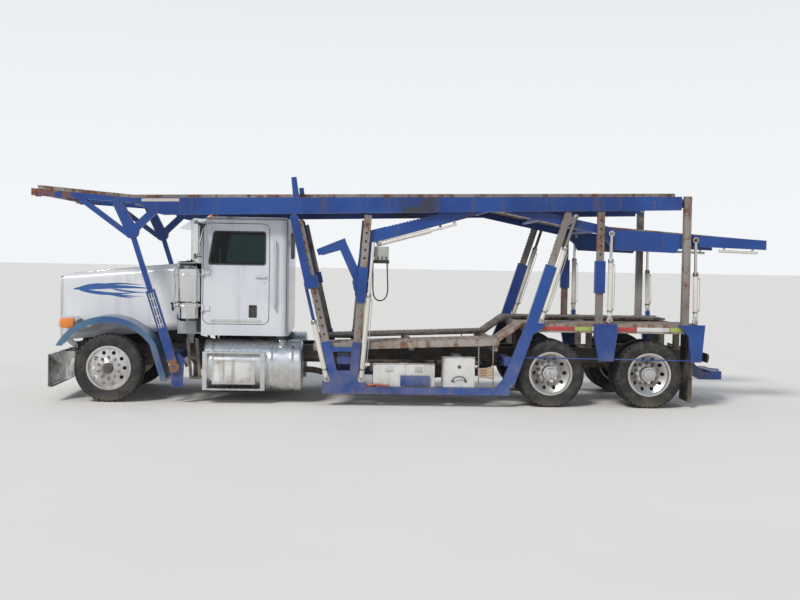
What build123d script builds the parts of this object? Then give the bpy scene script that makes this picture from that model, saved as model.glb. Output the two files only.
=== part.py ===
from build123d import *
from math import atan2, cos, hypot, sin
import os

# A car transporter truck: a conventional cab ahead of a steel rack that carries cars on a raised upper
# deck, a tilting middle deck and a low bed. Millimetres, Z up, the nose towards -X, the driver's side
# towards -Y. The origin is on the ground below the middle of the whole truck. Stations are distances
# behind the front axle and heights are above the ground.

# Overall reach and width
NOSE_REACH = 1000.0
TAIL_REACH = 8970.0
OVERALL_WIDTH = 2590.0
FRONT_AXLE_X = NOSE_REACH - (NOSE_REACH + TAIL_REACH) / 2

# Clearances
RUN_GAP = 0.3
PIN_GAP = 0.1
SIDE_GAP = 10.0

# Wheels and axles
WHEELBASE = 6020.0
TANDEM_SPREAD = 1372.0
TYRE_RADIUS = 465.0
TYRE_WIDTH = 250.0
TREAD_WIDTH = 212.0
SHOULDER_DROP = 62.0
BEAD_RADIUS = 286.0
BEAD_HALF = 99.0
RIM_WALL = 12.0
RIM_FLANGE = 14.0
DISC_WALL = 14.0
HAND_HOLES = 10
HAND_HOLE_RADIUS = 26.0
HAND_HOLE_CIRCLE = 212.0
HUB_RADIUS = 105.0
HUB_CAP_RADIUS = 62.0
SPINDLE_RADIUS = 38.0
FRONT_TRACK = 2070.0
DUAL_SPACING = 305.0
REAR_OUTER_FACE = 1195.0
KINGPIN_Y = 900.0
KINGPIN_RADIUS = 22.0

# Chassis frame
FRAME_TOP = 760.0
FRAME_DEPTH = 200.0
FRAME_HALF = 430.0
RAIL_FLANGE = 85.0
RAIL_WEB = 9.0
FRAME_NOSE = -620.0
FRAME_TAIL = 8250.0
CROSS_WIDTH = 90.0

# Rack planes, measured out from the centre plane
RACK_OUTER = OVERALL_WIDTH / 2
RACK_BAR = 80.0
RACK_INNER = RACK_OUTER - RACK_BAR
MAST_WIDTH = 50.0
ARM_OUTER = RACK_INNER - SIDE_GAP
ARM_BAR = 70.0
ARM_INNER = ARM_OUTER - ARM_BAR
RUNWAY_OUTER = ARM_INNER - SIDE_GAP
RUNWAY_WIDTH = 520.0
RUNWAY_PLATE = 20.0
RUNWAY_LIP = 45.0

# Deck pivots, as station and height
UPPER_PIVOT = (7840.0, 2830.0)
MID_PIVOT = (3400.0, 1620.0)
PIVOT_RADIUS = 25.0

# Cab
CAB_FRONT = 870.0
CAB_STEP = 1225.0
CAB_BACK = 2410.0
CAB_FLOOR = 920.0
CAB_WAIST = 1900.0
CAB_TOP = 2500.0
ROOF_RISE = 40.0
CAB_HALF = 1050.0
COWL_HALF = 800.0
CAB_WALL = 55.0
CAB_CORNER = 110.0
GLASS_PLATE = 6.0
DOOR_FRONT = 1250.0
DOOR_BACK = 2140.0
DOOR_BOTTOM = 1080.0
DOOR_TOP = 2445.0
DOOR_CORNER = 90.0
DOOR_GAP = 8.5
HINGE_RADIUS = 11.0
HINGE_PLAY = 0.9

# Hood
HOOD_PIVOT = (-600.0, 700.0)
HOOD_PIN = 14.0
HOOD_NOSE = -740.0
HOOD_BACK = 862.0
HOOD_SKIN = 12.0


def st(distance):
    """X of a station."""
    return FRONT_AXLE_X + distance


def side_face(points, inner_y):
    """A face drawn in side view from stations and heights, on the driver's side at inner_y."""
    with BuildSketch(Plane.XZ.offset(inner_y)) as outline:
        with BuildLine():
            Polyline(*[(st(x), z) for x, z in points], close=True)
        make_face()
    return outline.sketch


def slope(start, end):
    """Unit vector of the side view from one point to another, and the distance between them."""
    run = hypot(end[0] - start[0], end[1] - start[1])
    return (end[0] - start[0]) / run, (end[1] - start[1]) / run, run


def along(start, end, distance):
    """The point at a distance from start on the way to end."""
    dx, dz, _ = slope(start, end)
    return start[0] + dx * distance, start[1] + dz * distance


def beside(foot, line, distance):
    """The point at a distance from foot on a parallel to a line of two points."""
    dx, dz, _ = slope(*line)
    return foot[0] + dx * distance, foot[1] + dz * distance


def bar(start, end, width, end_width=None):
    """Corners of a straight bar between two points of the side view."""
    dx, dz, _ = slope(start, end)
    a = width / 2
    b = (end_width or width) / 2
    return [
        (start[0] - dz * a, start[1] + dx * a),
        (end[0] - dz * b, end[1] + dx * b),
        (end[0] + dz * b, end[1] - dx * b),
        (start[0] + dz * a, start[1] - dx * a),
    ]


def rod_plane(start, end, y):
    """A plane at start, its normal pointing at end, on the driver's side at y."""
    dx, dz, _ = slope(start, end)
    return Plane(origin=(st(start[0]), -y, start[1]), x_dir=(0, 1, 0), z_dir=(dx, 0, dz))


def cross_plane(point, y):
    """A plane across the truck at a point of the side view, its normal towards the driver's side."""
    return Plane(origin=(st(point[0]), -y, point[1]), x_dir=(1, 0, 0), z_dir=(0, -1, 0))


def disc(radius, plane, inner=0.0):
    """A round or ring-shaped face on a plane."""
    with BuildSketch(plane) as face:
        Circle(radius)
        if inner:
            Circle(inner, mode=Mode.SUBTRACT)
    return face.sketch


def wheel_face(points, station, y, side):
    """A half profile of a wheel from distances outboard and radii, at a wheel centre."""
    plane = Plane(origin=(st(station), side * y, TYRE_RADIUS), x_dir=(0, side, 0), z_dir=(side, 0, 0))
    with BuildSketch(plane) as outline:
        with BuildLine():
            Polyline(*points, close=True)
        make_face()
    return outline.sketch


def axle_line(station):
    """The axis of the wheels at a station."""
    return Axis((st(station), 0, TYRE_RADIUS), (0, 1, 0))


def save(block, name):
    """Label a finished piece and write it."""
    block.part.label = name
    export_step(block.part, "parts/" + name + ".step")


os.makedirs("parts", exist_ok=True)

# Chassis frame: two channel rails and the cross members between them
CROSS_STATIONS = (-560.0, 2480.0, 3300.0, 4200.0, 5200.0, 6706.0, 8140.0)
FRAME_BOTTOM = FRAME_TOP - FRAME_DEPTH
with BuildPart() as chassis_frame:
    with BuildSketch(Plane.YZ.offset(st(FRAME_NOSE))):
        with Locations((-FRAME_HALF + RAIL_FLANGE / 2, FRAME_TOP - FRAME_DEPTH / 2)):
            Rectangle(RAIL_FLANGE, FRAME_DEPTH)
        with Locations((-FRAME_HALF + RAIL_WEB + RAIL_FLANGE / 2, FRAME_TOP - FRAME_DEPTH / 2)):
            Rectangle(RAIL_FLANGE, FRAME_DEPTH - 2 * RAIL_WEB, mode=Mode.SUBTRACT)
    extrude(amount=FRAME_TAIL - FRAME_NOSE)
    # Pivot pins of the hood
    extrude(disc(HOOD_PIN, cross_plane(HOOD_PIVOT, FRAME_HALF - 5)), amount=45)
    mirror(about=Plane.XZ)
    for station in CROSS_STATIONS:
        with BuildSketch(Plane.XY.offset(FRAME_BOTTOM + RAIL_WEB)):
            with Locations((st(station), 0)):
                Rectangle(CROSS_WIDTH, 2 * (FRAME_HALF - RAIL_WEB))
        extrude(amount=FRAME_DEPTH - 2 * RAIL_WEB)
save(chassis_frame, "chassis_frame")

# Axles. In front a dropped beam with kingpin bosses hangs on two leaf springs. Behind are two drive axles,
# each with a round bowl, trailing arms and air springs, and the drive shafts that join them
BEAM_HALF_WIDTH = 50.0
BEAM_DEPTH = 80.0
BEAM_DROP = 105.0
BOSS_RADIUS = 45.0
BOSS_HALF = 60.0
SPRING_Y = 385.0
SPRING_WIDTH = 80.0
SPRING_REACH = 520.0
SPRING_CAMBER = 60.0
SPRING_PACK = 50.0
HOUSING_RADIUS = 68.0
BOWL_RADIUS = 190.0
BOWL_HALF = 110.0
AIR_SPRING_RADIUS = 77.0
REAR_OUTER_Y = REAR_OUTER_FACE - TYRE_WIDTH / 2
REAR_INNER_Y = REAR_OUTER_Y - DUAL_SPACING
REAR_HUB_INNER = REAR_INNER_Y - TYRE_WIDTH / 2
REAR_SPINDLE_END = REAR_OUTER_Y + 60
ARM_PLATE = 60.0
SHAFT_RADIUS = 38.0
SHAFT_START = (2358.0, 518.0)
spring_seat = TYRE_RADIUS - BEAM_DROP + BEAM_DEPTH / 2
with BuildPart() as axles:
    beam_points = [
        (-KINGPIN_Y, TYRE_RADIUS - BEAM_DEPTH / 2),
        (-KINGPIN_Y + 90, TYRE_RADIUS - BEAM_DEPTH / 2),
        (-SPRING_Y - 90, spring_seat - BEAM_DEPTH),
        (0, spring_seat - BEAM_DEPTH),
        (0, spring_seat),
        (-SPRING_Y - 90, spring_seat),
        (-KINGPIN_Y + 90, TYRE_RADIUS + BEAM_DEPTH / 2),
        (-KINGPIN_Y, TYRE_RADIUS + BEAM_DEPTH / 2),
    ]
    with BuildSketch(Plane.YZ.offset(st(0) - BEAM_HALF_WIDTH)):
        with BuildLine():
            Polyline(*beam_points, close=True)
        make_face()
    extrude(amount=2 * BEAM_HALF_WIDTH)
    with BuildSketch(Plane.XY.offset(TYRE_RADIUS - BOSS_HALF)):
        with Locations((st(0), -KINGPIN_Y)):
            Circle(BOSS_RADIUS)
    extrude(amount=2 * BOSS_HALF)
    # The spring pack is an arc that is deepest over the axle
    with BuildSketch(Plane.XZ.offset(SPRING_Y - SPRING_WIDTH / 2)):
        with BuildLine():
            ThreePointArc(
                (st(-SPRING_REACH), spring_seat + SPRING_CAMBER),
                (st(0), spring_seat),
                (st(SPRING_REACH), spring_seat + SPRING_CAMBER),
            )
            Line((st(SPRING_REACH), spring_seat + SPRING_CAMBER), (st(SPRING_REACH), FRAME_BOTTOM))
            Line((st(SPRING_REACH), FRAME_BOTTOM), (st(SPRING_REACH) - SPRING_PACK, FRAME_BOTTOM))
            ThreePointArc(
                (st(SPRING_REACH) - SPRING_PACK, FRAME_BOTTOM),
                (st(0), spring_seat + SPRING_PACK),
                (st(-SPRING_REACH) + SPRING_PACK, FRAME_BOTTOM),
            )
            Line((st(-SPRING_REACH) + SPRING_PACK, FRAME_BOTTOM), (st(-SPRING_REACH), FRAME_BOTTOM))
            Line((st(-SPRING_REACH), FRAME_BOTTOM), (st(-SPRING_REACH), spring_seat + SPRING_CAMBER))
        make_face()
    extrude(amount=SPRING_WIDTH)
    mirror(about=Plane.XZ)
    with BuildSketch(Plane.XY.offset(TYRE_RADIUS - BOSS_HALF)):
        with Locations((st(0), -KINGPIN_Y), (st(0), KINGPIN_Y)):
            Circle(KINGPIN_RADIUS + PIN_GAP)
    extrude(amount=2 * BOSS_HALF, mode=Mode.SUBTRACT)
    for station in (WHEELBASE, WHEELBASE + TANDEM_SPREAD):
        extrude(disc(HOUSING_RADIUS, cross_plane((station, TYRE_RADIUS), 0)), amount=REAR_HUB_INNER)
        extrude(disc(SPINDLE_RADIUS, cross_plane((station, TYRE_RADIUS), 0)), amount=REAR_SPINDLE_END)
        with BuildSketch(cross_plane((station, TYRE_RADIUS), 0)):
            Circle(BOWL_RADIUS)
        extrude(amount=BOWL_HALF, taper=20)
        # Trailing arm under the frame rail, from its hanger to the air spring's seat
        arm = [
            (station - 420, FRAME_BOTTOM),
            (station - 420, TYRE_RADIUS - 10),
            (station, TYRE_RADIUS - HOUSING_RADIUS - 20),
            (station + 280, TYRE_RADIUS - HOUSING_RADIUS - 20),
            (station + 280, TYRE_RADIUS - HOUSING_RADIUS + 20),
            (station, TYRE_RADIUS - HOUSING_RADIUS + 40),
            (station - 360, TYRE_RADIUS + 40),
            (station - 360, FRAME_BOTTOM),
        ]
        extrude(side_face(arm, FRAME_HALF - RAIL_FLANGE / 2 - ARM_PLATE / 2), amount=ARM_PLATE)
        with BuildSketch(Plane.XY.offset(TYRE_RADIUS - HOUSING_RADIUS + 20)):
            with Locations((st(station + 200), -FRAME_HALF + RAIL_FLANGE / 2)):
                Circle(AIR_SPRING_RADIUS)
        extrude(amount=FRAME_BOTTOM - TYRE_RADIUS + HOUSING_RADIUS - 20)
    mirror(about=Plane.XZ)
    # Drive shaft from the gearbox to the first axle and on to the second
    shaft_end = (WHEELBASE - BOWL_RADIUS + 30, TYRE_RADIUS + 20)
    shaft = slope(SHAFT_START, shaft_end)[2]
    extrude(disc(SHAFT_RADIUS, rod_plane(SHAFT_START, shaft_end, 0)), amount=shaft)
    link_start = (WHEELBASE + BOWL_RADIUS - 30, TYRE_RADIUS + 20)
    link_end = (WHEELBASE + TANDEM_SPREAD - BOWL_RADIUS + 30, TYRE_RADIUS + 20)
    link = slope(link_start, link_end)[2]
    extrude(disc(SHAFT_RADIUS, rod_plane(link_start, link_end, 0)), amount=link)
save(axles, "axles")

# Engine and gearbox as one plain block on its feet, and the radiator ahead of it
with BuildPart() as engine_block:
    with BuildSketch(Plane.XZ.offset(-270)):
        with BuildLine():
            Polyline(
                (st(-120), 1330),
                (st(-120), 620),
                (st(820), 620),
                (st(1240), 600),
                (st(2350), 500),
                (st(2350), 660),
                (st(1240), 780),
                (st(820), 880),
                (st(820), 1330),
                close=True,
            )
        make_face()
    extrude(amount=540)
    for foot in (100, 700):
        with BuildSketch(Plane.XY.offset(FRAME_TOP)):
            with Locations((st(foot), 0)):
                Rectangle(90, 2 * FRAME_HALF - 40)
        extrude(amount=60)
    with BuildSketch(Plane.XY.offset(FRAME_TOP)):
        with Locations((st(-460), 0)):
            Rectangle(90, 2 * FRAME_HALF)
    extrude(amount=720)
save(engine_block, "engine_block")

# Bumper: a bright face plate with its rolled edges, on two brackets from the frame
BUMPER_FACE = -800.0
BUMPER_DEPTH = 60.0
BUMPER_BOTTOM = 200.0
BUMPER_TOP = 650.0
BUMPER_HALF = 1185.0
BUMPER_PLATE = 8.0
with BuildPart() as bumper:
    with BuildSketch(Plane.XZ.offset(-BUMPER_HALF)):
        with BuildLine():
            Polyline(
                (st(BUMPER_FACE + BUMPER_DEPTH), BUMPER_TOP),
                (st(BUMPER_FACE + 12), BUMPER_TOP),
                (st(BUMPER_FACE), BUMPER_TOP - 12),
                (st(BUMPER_FACE), BUMPER_BOTTOM + 12),
                (st(BUMPER_FACE + 12), BUMPER_BOTTOM),
                (st(BUMPER_FACE + BUMPER_DEPTH), BUMPER_BOTTOM),
                (st(BUMPER_FACE + BUMPER_DEPTH), BUMPER_BOTTOM + BUMPER_PLATE),
                (st(BUMPER_FACE + BUMPER_PLATE + 8), BUMPER_BOTTOM + BUMPER_PLATE),
                (st(BUMPER_FACE + BUMPER_PLATE), BUMPER_BOTTOM + BUMPER_PLATE + 8),
                (st(BUMPER_FACE + BUMPER_PLATE), BUMPER_TOP - BUMPER_PLATE - 8),
                (st(BUMPER_FACE + BUMPER_PLATE + 8), BUMPER_TOP - BUMPER_PLATE),
                (st(BUMPER_FACE + BUMPER_DEPTH), BUMPER_TOP - BUMPER_PLATE),
                close=True,
            )
        make_face()
    extrude(amount=2 * BUMPER_HALF)
    bracket = [
        (BUMPER_FACE + BUMPER_PLATE, FRAME_BOTTOM + 60),
        (FRAME_NOSE, FRAME_BOTTOM + 60),
        (FRAME_NOSE, FRAME_BOTTOM),
        (BUMPER_FACE + BUMPER_PLATE, FRAME_BOTTOM - 140),
    ]
    extrude(side_face(bracket, FRAME_HALF - 20), amount=20)
    extrude(side_face(bracket, -FRAME_HALF), amount=20)
save(bumper, "bumper")

# Steering knuckles: a fork round the axle beam's boss with its kingpin, and the wheel spindle
FORK_PLATE = 30.0
KNUCKLE_GAP = 1.0
SPINDLE_START = KINGPIN_Y + BOSS_RADIUS + 8
FRONT_WHEEL_Y = FRONT_TRACK / 2
FRONT_SPINDLE_END = FRONT_WHEEL_Y + 95
for side, hand in ((-1, "left"), (1, "right")):
    with BuildPart() as knuckle:
        fork_bottom = TYRE_RADIUS - BOSS_HALF - KNUCKLE_GAP - FORK_PLATE
        fork_top = TYRE_RADIUS + BOSS_HALF + KNUCKLE_GAP
        for level in (fork_bottom, fork_top):
            with BuildSketch(Plane.XY.offset(level)):
                with Locations((st(0), side * (KINGPIN_Y + 26))):
                    Rectangle(90, 122)
            extrude(amount=FORK_PLATE)
        with BuildSketch(Plane.XY.offset(fork_bottom)):
            with Locations((st(0), side * (SPINDLE_START + 17))):
                Rectangle(90, 34)
        extrude(amount=fork_top + FORK_PLATE - fork_bottom)
        with BuildSketch(Plane.XY.offset(fork_bottom)):
            with Locations((st(0), side * KINGPIN_Y)):
                Circle(KINGPIN_RADIUS)
        extrude(amount=fork_top + FORK_PLATE - fork_bottom)
        spindle_root = (st(0), side * SPINDLE_START, TYRE_RADIUS)
        spindle = Plane(origin=spindle_root, x_dir=(1, 0, 0), z_dir=(0, side, 0))
        extrude(disc(SPINDLE_RADIUS, spindle), amount=FRONT_SPINDLE_END - SPINDLE_START)
        # Steering arm towards the tie rod behind the axle
        with BuildSketch(Plane.XY.offset(fork_bottom)):
            with Locations((st(100), side * (KINGPIN_Y - 10))):
                Rectangle(160, 45)
        extrude(amount=FORK_PLATE)
    save(knuckle, "knuckle_" + hand)

# Tyres: the section's points are distances from the tyre's middle plane and radii
tyre_points = [
    (-BEAD_HALF, BEAD_RADIUS),
    (BEAD_HALF, BEAD_RADIUS),
    (TYRE_WIDTH / 2, TYRE_RADIUS - SHOULDER_DROP),
    (TREAD_WIDTH / 2, TYRE_RADIUS),
    (-TREAD_WIDTH / 2, TYRE_RADIUS),
    (-TYRE_WIDTH / 2, TYRE_RADIUS - SHOULDER_DROP),
]
# Rims: a well between two flanges, a dished or crowned disc and a hub that runs on the spindle
seat = BEAD_RADIUS - RUN_GAP
lip = BEAD_RADIUS + RIM_FLANGE
half_rim = TREAD_WIDTH / 2
bore = SPINDLE_RADIUS + PIN_GAP


def rim_points(disc_outer, disc_inner, hub_back, hub_face, cap_face):
    """Half profile of a rim: where its disc leaves the well and meets the hub, and the hub's faces."""
    return [
        (-half_rim - 8, lip),
        (-half_rim - 8, seat - RIM_WALL),
        (disc_outer - DISC_WALL, seat - RIM_WALL),
        (disc_inner - DISC_WALL, HUB_RADIUS + 40),
        (disc_inner - DISC_WALL, HUB_RADIUS),
        (hub_back, HUB_RADIUS),
        (hub_back, bore),
        (hub_face, bore),
        (hub_face, 0.0),
        (cap_face, 0.0),
        (cap_face, HUB_CAP_RADIUS),
        (disc_inner + 12, HUB_RADIUS),
        (disc_inner, HUB_RADIUS + 40),
        (disc_outer, seat - RIM_WALL),
        (half_rim + 8, seat - RIM_WALL),
        (half_rim + 8, lip),
        (half_rim, lip),
        (half_rim, seat),
        (-half_rim, seat),
        (-half_rim, lip),
    ]


FRONT_DISC_OUTER = 78.0
FRONT_DISC_INNER = 100.0
FRONT_CAP = 145.0
REAR_DISC_OUTER = 40.0
REAR_DISC_INNER = -60.0
REAR_CAP = 95.0
for side, hand in ((-1, "left"), (1, "right")):
    with BuildPart() as tyre_front:
        revolve(wheel_face(tyre_points, 0, FRONT_WHEEL_Y, side), axis=axle_line(0))
    save(tyre_front, "tyre_front_" + hand)
    with BuildPart() as rim_front:
        hub_back = SPINDLE_START + 40 - FRONT_WHEEL_Y
        hub_face = FRONT_SPINDLE_END + 2 - FRONT_WHEEL_Y
        profile = rim_points(FRONT_DISC_OUTER, FRONT_DISC_INNER, hub_back, hub_face, FRONT_CAP)
        revolve(wheel_face(profile, 0, FRONT_WHEEL_Y, side), axis=axle_line(0))
        centre = (st(0), side * (FRONT_WHEEL_Y + 40), TYRE_RADIUS)
        with BuildSketch(Plane(origin=centre, x_dir=(1, 0, 0), z_dir=(0, side, 0))):
            with PolarLocations(HAND_HOLE_CIRCLE, HAND_HOLES):
                Circle(HAND_HOLE_RADIUS)
        extrude(amount=70, mode=Mode.SUBTRACT)
    save(rim_front, "rim_front_" + hand)
    for number, station in ((1, WHEELBASE), (2, WHEELBASE + TANDEM_SPREAD)):
        with BuildPart() as tyres_rear:
            for wheel_y in (REAR_OUTER_Y, REAR_INNER_Y):
                revolve(wheel_face(tyre_points, station, wheel_y, side), axis=axle_line(station))
        save(tyres_rear, "tyres_rear_%d_%s" % (number, hand))
        with BuildPart() as rims_rear:
            hub_back = REAR_HUB_INNER + 20 - REAR_OUTER_Y
            hub_face = REAR_SPINDLE_END + 2 - REAR_OUTER_Y
            profile = rim_points(REAR_DISC_OUTER, REAR_DISC_INNER, hub_back, hub_face, REAR_CAP)
            revolve(wheel_face(profile, station, REAR_OUTER_Y, side), axis=axle_line(station))
            # The inner rim bolts back to back with the outer one
            inner_points = [
                (-half_rim - 8, lip),
                (-half_rim - 8, seat - RIM_WALL),
                (half_rim - 20, seat - RIM_WALL),
                (DUAL_SPACING + REAR_DISC_INNER - 2 * DISC_WALL, HUB_RADIUS + 60),
                (DUAL_SPACING + REAR_DISC_INNER - 2 * DISC_WALL, HUB_RADIUS - 5),
                (DUAL_SPACING + REAR_DISC_INNER - DISC_WALL, HUB_RADIUS - 5),
                (DUAL_SPACING + REAR_DISC_INNER - DISC_WALL, HUB_RADIUS + 62),
                (half_rim + 8, seat - RIM_WALL),
                (half_rim + 8, lip),
                (half_rim, lip),
                (half_rim, seat),
                (-half_rim, seat),
                (-half_rim, lip),
            ]
            revolve(wheel_face(inner_points, station, REAR_INNER_Y, side), axis=axle_line(station))
            centre = (st(station), side * (REAR_OUTER_Y - 70), TYRE_RADIUS)
            with BuildSketch(Plane(origin=centre, x_dir=(1, 0, 0), z_dir=(0, side, 0))):
                with PolarLocations(HAND_HOLE_CIRCLE, HAND_HOLES):
                    Circle(HAND_HOLE_RADIUS)
            extrude(amount=120, mode=Mode.SUBTRACT)
        save(rims_rear, "rims_rear_%d_%s" % (number, hand))

# Cab shell: a narrow cowl, a wide body and a windscreen in two flat panes that meet at a middle post
SCREEN_NOSE = 930.0
SCREEN_SWEEP = 220.0
SCREEN_RAKE = 140.0
REAR_WINDOW = (900.0, 1990.0, 2330.0)


def cab_plan(height, rake, inset):
    """Plan of the upper cab at a height, its outline moved in by a wall."""
    half = CAB_HALF - inset
    with BuildSketch(Plane.XY.offset(height)) as plan:
        with BuildLine():
            Polyline(
                (st(SCREEN_NOSE + rake + inset), 0),
                (st(SCREEN_NOSE + rake + SCREEN_SWEEP + inset), -half),
                (st(CAB_BACK - inset), -half),
                (st(CAB_BACK - inset), half),
                (st(SCREEN_NOSE + rake + SCREEN_SWEEP + inset), half),
                close=True,
            )
        make_face()
        fillet(plan.vertices().group_by(Axis.X)[-1], CAB_CORNER - inset)
    return plan.sketch


def cab_box(front, half, inset):
    """Plan of a lower part of the cab."""
    with BuildSketch(Plane.XY.offset(CAB_FLOOR + inset)) as plan:
        with BuildLine():
            Polyline(
                (st(front + inset), -half + inset),
                (st(CAB_BACK - inset), -half + inset),
                (st(CAB_BACK - inset), half - inset),
                (st(front + inset), half - inset),
                close=True,
            )
        make_face()
        fillet(plan.vertices().group_by(Axis.X)[-1], CAB_CORNER - inset)
    return plan.sketch


def screen_face(margin, depth):
    """Outline of the driver's side windscreen pane, held in from its edges by a margin."""
    across = Vector(SCREEN_SWEEP, -CAB_HALF, 0)
    up = Vector(SCREEN_RAKE, 0, CAB_TOP - CAB_WAIST)
    corner = Vector(st(SCREEN_NOSE), 0, CAB_WAIST)
    outward = across.cross(up).normalized()
    middle = corner + (across + up) * 0.5 + outward * depth
    with BuildSketch(Plane(origin=middle, x_dir=across, z_dir=outward)) as pane:
        Rectangle(across.length - 2 * margin - 60, up.length - 2 * margin - 50)
        fillet(pane.vertices(), 45)
    return pane.sketch


def door_outline(grow, plane_y):
    """Outline of a cab door, grown all round by a gap."""
    with BuildSketch(Plane.XZ.offset(plane_y)) as outline:
        with Locations((st((DOOR_FRONT + DOOR_BACK) / 2), (DOOR_BOTTOM + DOOR_TOP) / 2)):
            Rectangle(DOOR_BACK - DOOR_FRONT + 2 * grow, DOOR_TOP - DOOR_BOTTOM + 2 * grow)
        fillet(outline.vertices(), DOOR_CORNER + grow)
    return outline.sketch


WINDOW_POINTS = [(1330.0, 1900.0), (1395.0, 2330.0), (2080.0, 2330.0), (2080.0, 1900.0)]


def window_face(grow, plane_y):
    """Outline of a door window, shrunk all round by a gap when grow is negative."""
    with BuildSketch(Plane.XZ.offset(plane_y)) as outline:
        with BuildLine():
            Polyline(*[(st(x), z) for x, z in WINDOW_POINTS], close=True)
        make_face()
        fillet(outline.vertices(), 30)
        offset(amount=grow, mode=Mode.REPLACE)
    return outline.sketch


HINGE_Y = CAB_HALF + 21
HINGE_X = DOOR_FRONT - 2
HINGE_HEIGHTS = (1290.0, 1780.0)
HINGE_RING = 19.0
HINGE_LENGTH = 60.0
with BuildPart() as cab_shell:
    extrude(cab_box(CAB_STEP, CAB_HALF, 0), amount=CAB_WAIST - CAB_FLOOR)
    extrude(cab_box(CAB_FRONT, COWL_HALF, 0), amount=CAB_WAIST - CAB_FLOOR)
    loft([cab_plan(CAB_WAIST, 0, 0), cab_plan(CAB_TOP, SCREEN_RAKE, 0)], ruled=True)
    extrude(cab_plan(CAB_TOP, SCREEN_RAKE, 0), amount=ROOF_RISE, taper=50)
    room = CAB_WAIST - CAB_FLOOR - CAB_WALL
    extrude(cab_box(CAB_STEP, CAB_HALF, CAB_WALL), amount=room, mode=Mode.SUBTRACT)
    extrude(cab_box(CAB_FRONT, COWL_HALF, CAB_WALL), amount=room, mode=Mode.SUBTRACT)
    upper = [cab_plan(CAB_WAIST, 0, CAB_WALL), cab_plan(CAB_TOP, SCREEN_RAKE, CAB_WALL)]
    loft(upper, ruled=True, mode=Mode.SUBTRACT)
    # Openings for the doors, the windscreen panes and the rear window
    extrude(door_outline(DOOR_GAP, CAB_HALF - CAB_WALL - 20), amount=CAB_WALL + 40, mode=Mode.SUBTRACT)
    extrude(door_outline(DOOR_GAP, -CAB_HALF - 20), amount=CAB_WALL + 40, mode=Mode.SUBTRACT)
    pane = screen_face(CAB_WALL, 0)
    extrude(pane, amount=90, both=True, mode=Mode.SUBTRACT)
    extrude(mirror(pane, about=Plane.XZ, mode=Mode.PRIVATE), amount=90, both=True, mode=Mode.SUBTRACT)
    with BuildSketch(Plane.YZ.offset(st(CAB_BACK - CAB_WALL - 20))) as rear_opening:
        with Locations((0, (REAR_WINDOW[1] + REAR_WINDOW[2]) / 2)):
            Rectangle(REAR_WINDOW[0], REAR_WINDOW[2] - REAR_WINDOW[1])
        fillet(rear_opening.vertices(), 40)
    extrude(amount=CAB_WALL + 40, mode=Mode.SUBTRACT)
    # Hinge brackets and pins at the front edge of each door
    for side in (-1, 1):
        for level in HINGE_HEIGHTS:
            for end in (-HINGE_LENGTH / 2 - 12.5, HINGE_LENGTH / 2 + 0.5):
                with BuildSketch(Plane.XY.offset(level + end)):
                    with Locations((st(HINGE_X - 9.5), side * (CAB_HALF + 18))):
                        Rectangle(33, 32)
                    with Locations((st(HINGE_X - 14.5), side * (CAB_HALF + 1))):
                        Rectangle(15, 8)
                extrude(amount=12)
            with BuildSketch(Plane.XY.offset(level - HINGE_LENGTH / 2 - 12)):
                with Locations((st(HINGE_X), side * HINGE_Y)):
                    Circle(HINGE_RADIUS)
            extrude(amount=HINGE_LENGTH + 24)
    # Mounts between the cab floor and the frame rails
    for station in (1000.0, 2250.0):
        with BuildSketch(Plane.XY.offset(FRAME_TOP)):
            with Locations((st(station), 0)):
                with GridLocations(0, 2 * FRAME_HALF - RAIL_FLANGE, 1, 2):
                    Rectangle(90, RAIL_FLANGE - 10)
        extrude(amount=CAB_FLOOR - FRAME_TOP)
save(cab_shell, "cab_shell")

# Fixed glass: the two windscreen panes and the rear window
with BuildPart() as cab_glass:
    pane = screen_face(CAB_WALL + RUN_GAP, -26)
    extrude(pane, amount=GLASS_PLATE)
    extrude(mirror(pane, about=Plane.XZ, mode=Mode.PRIVATE), amount=-GLASS_PLATE)
    with BuildSketch(Plane.YZ.offset(st(CAB_BACK - CAB_WALL / 2))) as rear_pane:
        with Locations((0, (REAR_WINDOW[1] + REAR_WINDOW[2]) / 2)):
            Rectangle(REAR_WINDOW[0] - 2 * RUN_GAP, REAR_WINDOW[2] - REAR_WINDOW[1] - 2 * RUN_GAP)
        fillet(rear_pane.vertices(), 40)
    extrude(amount=GLASS_PLATE)
save(cab_glass, "cab_glass")

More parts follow.
